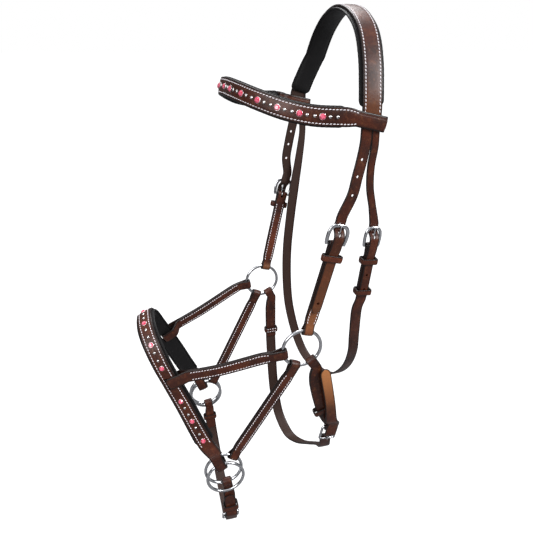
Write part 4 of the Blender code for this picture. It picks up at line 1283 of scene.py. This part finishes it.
upper = crossAt + noseLook["trimAbove"]
room = noseRun - 2 * upper
steps = 3 * math.floor(room / pitch / 3)
pitch = room / steps
spare = 0.0004  # lets the last piece of a row fit
flipped = {key: frontLine[key][::-1] for key in frontLine}
trimRows["noseband"] = {"pitch": pitch, "shift": 0.0, "rows": [
    exactRow(frontLine, lift, lower - 6 * pitch, lower + spare),
    exactRow(frontLine, lift, upper, noseRun - upper + spare),
    exactRow(flipped, lift, lower - 6 * pitch, lower + spare)]}

sideLook = {"inset": 0.0026, "crease": 0.0002, "dome": 0.0003}
upperLine = [(0.0955, -0.1250, -0.3850), (0.0800, -0.1720, -0.4030)]
over = noseThick / 2 + 0.0009 + strapThick / 2
under = -(noseThick / 2 + clearance * 2 + noseLook["padThick"] + 0.0013 + strapThick / 2)
edge = noseLook["padWidth"] / 2 + 0.0009 + strapThick / 2
slit = noseLook["slitAt"]
corners = [(edge, over), (0.0040, over), (slit + 0.0026, over - 0.0002), (slit + 0.0006, over - 0.0022),
           (slit, (over + under) / 2), (slit + 0.0006, under + 0.0022), (slit + 0.0026, under + 0.0002),
           (0.0050, under), (edge - 0.002, under), (edge + 0.0025, under + 0.003)]
sideWrap = [(p.x, p.y) for p in smoothPath([Vector((t, n, 0)) for t, n in corners], 0.0012)[0]]
for side, word in ((1, "near"), (-1, "far")):
    head = ringPlace(cheekRingAt, upperLoopAngle).sided(side)
    route = [sided(side, p) for p in upperLine]
    width = leatherCut["sideWidth"]
    strap, line = doubledStrap(word + "UpperSideStrap", head, ringFold, loopWidth, noseHold(side), sideWrap,
                               width, route,
                               width, sideLook, leather)
    settle(strap, "noseband", "leather", word + "_upper_side_strap")
    sewDoubled("noseband", line, end=0.007)
    head = ringPlace(cheekRingAt, lowerLoopAngle).sided(side)
    tail = ringPlace(noseRingAt, noseLowerLoopAngle).sided(side)
    strap, line = doubledStrap(word + "LowerSideStrap", head, ringFold, loopWidth, tail,
                               roundWrap(ringFold), loopWidth, [],
                               width, sideLook, leather)
    settle(strap, "noseband", "leather", word + "_lower_side_strap")
    sewDoubled("noseband", line)
print("noseband ready")

# jaw, chin and throat straps
longLook = {"inset": 0.0017, "crease": 0.0002, "dome": 0.00025, "tip": 0.0075}


def longStrap(name, start, fold, lap, endWidth, points, across, widths, look, material, endTip=0.0,
              paintedLight=None):
    # folded back round something at its start, then single to its other end
    reach = fold + strapThick / 2
    lead = sameWay(start.across, across[0])
    path, marks = smoothPath([start.point(reach + 0.007, halfGap)] + points)
    hints = spread([lead] + across, marks)
    wide = spread([endWidth] + widths, marks)
    if endTip:
        path, (hints, wide) = addTipStations(path, [hints, wide], endTip)
        wide = tipped(path, wide, endTip)
    along = tangentsOf(path)
    inner, run = [], 0.0
    for k, p in enumerate(path):
        if run > lap:
            break
        inner.append(p - squareTo(start.out, along[k]) * 2 * halfGap)
        run += (path[k + 1] - p).length
    count = len(inner)
    arc = start.arc(reach, 300, 60, 26)
    whole = inner[::-1] + arc + path
    hintsOut = [None] * (count + len(arc)) + [start.out] * min(count,
            len(path)) + [None] * (len(path) - min(count, len(path)))
    total = arcLengths(path)
    paintedLights = [0.0] * (count + len(arc)) + [paintedLight(s / total[-1]) if paintedLight else 0.0 for s in total]
    obj, line = ribbon(name, whole, hints[:count][::-1] + [lead] * len(arc) + hints,
                       wide[:count][::-1] + [endWidth] * len(arc) + wide, strapThick, look, material,
                       hintsOut, paintedLight=paintedLights)
    skip = count + len(arc)
    outer = {key: line[key][skip:] for key in line}
    return obj, outer, count


jawBarAt = Vector((0.088, -0.0235, -0.519))
chinBarAt = Vector((0.0825, -0.166, -0.648))
throatBarAt = Vector((0.1005, 0.0075, -0.2470))
jawKeeperHeight = -0.470
jawNearLine = [(0.1010, -0.0530, -0.4300), (0.0990, -0.0410, -0.4760)]
jawLine = [(-0.1005, -0.0590, -0.425), (-0.0995, -0.0585, -0.476), (-0.0930, -0.0570, -0.540),
           (-0.0860, -0.0545, -0.585), (-0.0720, -0.0500, -0.622), (-0.0450, -0.0410, -0.643),
           (-0.0150, -0.0310, -0.636), (0.0200, -0.0225, -0.610), (0.0480, -0.0205, -0.586),
           (0.0700, -0.0230, -0.569)]
jawTipLine = [(0.1040, -0.0290, -0.4930), (0.1080, -0.0335, -0.4640), (0.1088, -0.0390, -0.4340),
              (0.1080, -0.0442, -0.4060)]
chinLine = [(-0.0855, -0.1690, -0.610), (-0.0800, -0.1670, -0.638), (-0.0660, -0.1650, -0.664),
            (-0.0450, -0.1640, -0.685), (-0.0150, -0.1630, -0.699), (0.0200, -0.1630, -0.703),
            (0.0460, -0.1640, -0.697)]
chinTipLine = [(0.0913, -0.1665, -0.6330), (0.0910, -0.1672, -0.6220), (0.0906, -0.1680, -0.6130),
               (0.0905, -0.1684, -0.6055)]


def makeJaw():
    width = leatherCut["jawWidth"]
    place = Place(jawBarAt, (-0.16, -0.12, -0.98), sideAxis)
    head = ringPlace(cheekRingAt, jawLoopAngle)
    route = [Vector(p) for p in jawNearLine]
    # painted shade: the jaw buckle piece uses the darker shaded copy of the leather
    strap, line = doubledStrap("jawBucklePiece", head, ringFold, loopWidth, place.reversed(),
                               roundWrap(barFold), width,
                               route, width, longLook, leatherShaded)
    settle(cutWith(strap, [foldSlot(place)]), "jaw", "leather", "jaw_buckle_piece")
    makeBuckle("jaw", "jaw", place, width, squared, hardware["squareSide"], "jaw", "jaw_tongue")
    start = ringPlace(cheekRingAt, farJawLoopAngle).sided(-1)
    points = [Vector(p) for p in jawLine] + throughBuckle(place)[1:]
    points += [place.point(-0.014, onStrap + 0.0022)] + [Vector(p) for p in jawTipLine]
    across = [backAxis] * len(jawLine) + [sameWay(place.across, backAxis)] * (len(points) - len(jawLine))
    widths = [width] * (len(points) - 3) + [leatherCut["jawTipWidth"]] * 3
    # painted light: the jaw strap is lightened strongly over its last stretch to the tip
    strap, outer, count = longStrap("jawStrap", start, ringFold, 0.072, loopWidth, points, across, widths,
                                    longLook,
                                    leather, longLook["tip"], paintedLight=lambda u: 0.85
                                    * eased(max(0, (u - 0.86) / 0.14)))
    settle(cutWith(strap, [billetSlot(place)]), "jaw", "leather", "jaw_strap")
    mid, marks = middleLine(head, ringFold, route, place.reversed(), barFold, 0.014)
    spot = min(range(1, len(mid) - 1), key=lambda k: abs(mid[k].z - jawKeeperHeight))
    hold = Place(mid[spot], mid[spot - 1] - mid[spot + 1], sideAxis)
    band = keeperBand("nearJawKeeper", hold, width + 2 * leatherCut["jawKeeperEase"],
                      -doubleFace - clearance, doubleFace + clearance)
    settle(band, "jaw", "leather", "near_jaw_keeper")
    spot = Vector(jawLine[1]) + Vector((0, 0, 0.012))
    hold = Place(spot, Vector(jawLine[0]) - Vector(jawLine[1]), -sideAxis)
    thin = strapThick / 2
    band = keeperBand("farJawKeeper", hold, width + leatherCut["slack"], -2 * halfGap - thin - clearance,
                      thin + clearance)
    settle(band, "jaw", "leather", "far_jaw_keeper")
    low = -2 * halfGap - thin - clearance * 2 - strapThick * 0.8
    for step in (-0.0022, 0.0022):
        points = [(hold.point(step, low - 0.0001, w), -hold.out) for w in (-0.0062, 0.0062)]
        addRows(stitchRows, "jaw", points)


def makeChin():
    width = leatherCut["chinWidth"]
    place = Place(chinBarAt, (-0.47, 0.04, -0.88), sideAxis)
    head = ringPlace(noseRingAt, chinLoopAngle)
    strap, line = doubledStrap("chinBucklePiece", head, ringFold, loopWidth, place.reversed(),
                               roundWrap(barFold), width, [],
                               width, longLook, leather)
    settle(cutWith(strap, [foldSlot(place)]), "chin", "leather", "chin_buckle_piece")
    makeBuckle("chin", "chin", place, width, squared, hardware["squareSide"], "chin", "chin_tongue")
    start = head.sided(-1)
    points = [Vector(p) for p in chinLine] + throughBuckle(place)
    points += [place.point(-0.011, onStrap + 0.0015)] + [Vector(p) for p in chinTipLine]
    across = [backAxis] * len(points)
    strap, outer, count = longStrap("chinStrap", start, ringFold, 0.040, loopWidth, points, across,
                                    [width] * len(points),
                                    longLook, leather, longLook["tip"])
    settle(cutWith(strap, [billetSlot(place)]), "chin", "leather", "chin_strap")
    upper, lower = Vector(chinTipLine[1]), Vector(chinTipLine[0])
    hold = Place((upper + lower) / 2, upper - lower, sideAxis)
    low = -onStrap - doubleFace - 0.0016
    band = keeperBand("nearChinKeeper", hold, width + leatherCut["slack"], low, strapThick / 2 + clearance)
    settle(band, "chin", "leather", "near_chin_keeper")
    spot = Vector(chinLine[0])
    hold = Place(spot, head.sided(-1).at - spot, -sideAxis)
    thin = strapThick / 2
    band = keeperBand("farChinKeeper", hold, width + leatherCut["slack"], -2 * halfGap - thin - clearance,
                      thin + clearance)
    settle(band, "chin", "leather", "far_chin_keeper")


throatPivot = Vector((legX, 0.0018, -0.1320))
throatBilletLine = [(legX, 0.0012, -0.1040), (legX, 0.0012, -0.1200), (legX, 0.0013, -0.1340),
                    (0.1010, -0.0010, -0.1550), (0.1010, 0.0000, -0.1780), (0.1005, 0.0050, -0.2000)]
throatLine = [(0.0945, -0.0010, -0.334), (0.082, 0.0045, -0.376), (0.068, 0.0110, -0.413),
              (0.045, 0.0160, -0.450),
              (0.020, 0.0160, -0.480), (-0.008, 0.0130, -0.503), (-0.035, 0.0070, -0.514),
              (-0.060, -0.0010, -0.512), (-0.076, -0.0090, -0.500), (-0.087, -0.0170, -0.476),
              (-0.094, -0.0240, -0.446), (-0.097, -0.0300, -0.410), (-0.0975, -0.0330, -0.365),
              (-0.0970, -0.0330, -0.320), (-0.0965, -0.0295, -0.275), (-0.0965, -0.0245, -0.230),
              (-0.0985, -0.0175, -0.185), (-legX, -0.0126, -0.150)]


def settleThroat(obj, *nodes):
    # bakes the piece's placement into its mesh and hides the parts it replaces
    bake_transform(obj)
    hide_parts(*nodes)


def makeThroat():
    width = leatherCut["throatWidth"]
    place = Place(throatBarAt, (0.045, 0.09, 0.995), sideAxis)
    end = leatherCut["throatEndWidth"]
    points = [Vector(p) for p in throatBilletLine] + throughBuckle(place)[1:]
    points += onTop(place, 0.014, 0.024, 0.036, 0.048, 0.065)
    upper = len(throatBilletLine)
    widths = [width] * upper + [end] * (len(points) - upper)
    billet, line = openStrap("throatBillet", points, [backAxis] * len(points), widths, strapThick, longLook,
                             leather, sideAxis, endTip=0.006)
    cutters = [billetSlot(place)] + [punch(place, -back, onStrap) for back in (0.036, 0.055)]
    settleThroat(cutWith(billet, cutters), "throat_billet")
    makeBuckle("throat", "throat", place, end, horseshoe, hardware["frameSide"] * 0.85, "throat",
               "throat_tongue")
    start = place.reversed()
    top = mirrored(throatPivot)
    points = [start.point(t, halfGap) for t in (0.030, 0.055, 0.070)] + [Vector(p) for p in throatLine]
    points += [lean(top + Vector((0, 0, 0.002))) + Vector((0, -0.0006, 0)),
               lean(top + Vector((0, 0, 0.028))) + Vector((0, -0.0006, 0))]
    wide = leatherCut["throatlatchWidth"]
    widths = [wide] * (len(points) - 4) + [(wide + width) / 2, width * 1.04, width, width]
    strap, outer, count = longStrap("throatlatch", start, barFold, 0.052, end, points,
                                    [backAxis] * len(points), widths,
                                    longLook, leather)
    settleThroat(cutWith(strap, [foldSlot(place)]), "throatlatch")
    wide += 2 * leatherCut["throatKeeperEase"]
    for k, back, body in ((1, 0.0185, "throat"), (2, 0.059, "throat_keeper")):
        hold = Place(place.point(-back, 0), place.along, place.out)
        band = keeperBand("throatKeeper%d" % k, hold, wide, -doubleFace - clearance, billetFace + clearance,
                          0.007)
        settle(band, body, "leather", "throat_keeper_%d" % k)


makeJaw()
makeChin()
makeThroat()
print("long straps ready")

# stitches and trim, one piece for each body
for body, rows in stitchRows.items():
    obj = runTree(body + "Stitches", rows, stitchTree, stitching, thread)
    settle(obj, body, "leather")
for body, plan in trimRows.items():
    for label, tree, size, lift, finish, slot in (("Crystals", stoneTree, trim["stone"], 0.0008, crystal,
                                                   "leather"),
                                                  ("Cups", cupTree, trim["cup"], 0.0001, silver, "steel"),
                                                  ("Studs", studTree, trim["stud"], 0.0, silver, "steel")):
        values = {"Pitch": plan["pitch"], "Diameter": size, "Lift": lift, "Shift": plan["shift"]}
        settle(runTree(body + label, plan["rows"], tree, values, finish), body, slot)
print("stitches and trim ready")

# stage, camera and light
floorHeight = -0.7121
reach = 60  # far enough that the floor's edge is never seen
floorLook = {"Base Color": (0.16, 0.16, 0.165, 1), "Roughness": 0.9, "Emission Color": (1, 1, 1, 1)}
corners = [(x * reach, y * reach, floorHeight) for x, y in ((-1, -1), (1, -1), (1, 1), (-1, 1))]
floorFinish, tree, shader = newMaterial("floorPale", floorLook)
# white to the eye, dim in the reflections of leather and steel
tree.links.new(addNode(tree, "ShaderNodeLightPath").outputs["Is Camera Ray"],
               shader.inputs["Emission Strength"])
floor = meshObject("floor", corners, [(0, 1, 2, 3)], floorFinish)

view = {"at": (0.594, -0.24625, -0.034875), "azimuth": 75.4, "elevation": 23.8, "lens": 33.77}
az, el = math.radians(view["azimuth"]), math.radians(view["elevation"])
right = Vector((math.cos(az), math.sin(az), 0))
look = Vector((-math.sin(az) * math.cos(el), math.cos(az) * math.cos(el), -math.sin(el)))
up = right.cross(look)
camera = bpy.data.objects.new("camera", bpy.data.cameras.new("camera"))
camera.data.lens = view["lens"]
camera.data.sensor_width = 36
camera.data.clip_start = 0.02
turn = Matrix((right, up, -look)).transposed().to_4x4()
camera.matrix_world = Matrix.Translation(view["at"]) @ turn
bpy.context.scene.collection.objects.link(camera)
bpy.context.scene.camera = camera

lights = {
    "key": {"at": (1.3, 1.3, 0.9), "power": 44, "size": 0.8},
    "fill": {"at": (1.2, -1.4, 0.5), "power": 24, "size": 1.2},
    "back": {"at": (-1.3, 0.2, 1.5), "power": 34, "size": 1.2},
}
for name, values in lights.items():
    lamp = bpy.data.lights.new(name, "AREA")
    lamp.energy = values["power"]
    lamp.size = values["size"]
    obj = bpy.data.objects.new(name, lamp)
    obj.location = values["at"]
    aim = Vector((0, -0.12, -0.35)) - Vector(values["at"])
    obj.rotation_euler = aim.to_track_quat("-Z", "Y").to_euler()
    bpy.context.scene.collection.objects.link(obj)


def studioWorld():
    # white to the eye, and grey with a brighter ceiling in the reflections
    world = bpy.data.worlds.new("studio")
    world.use_nodes = True
    tree = world.node_tree
    where = addNode(tree, "ShaderNodeTexCoord").outputs["Generated"]
    height = addNode(tree, "ShaderNodeSeparateXYZ", {0: where}).outputs["Z"]
    ramp = addNode(tree, "ShaderNodeValToRGB", {"Fac": ranged(tree, height, -1.0, 1.0, 0.0, 1.0)})
    stops = ramp.color_ramp.elements
    stops[0].color, stops[1].color = (0.5, 0.5, 0.5, 1), (0.95, 0.96, 1.0, 1)
    for place, level in ((0.46, 0.42), (0.53, 0.09), (0.66, 0.14), (0.80, 0.75)):
        stops.new(place).color = (level, level, level * 1.03, 1)
    seen = addNode(tree, "ShaderNodeLightPath").outputs["Is Camera Ray"]
    shade = mixColour(tree, seen, ramp.outputs["Color"], (1, 1, 1, 1))
    tree.links.new(shade, tree.nodes["Background"].inputs["Color"])
    return world


bpy.context.scene.world = studioWorld()
bpy.context.scene.view_settings.view_transform = "Standard"
print("stage ready")
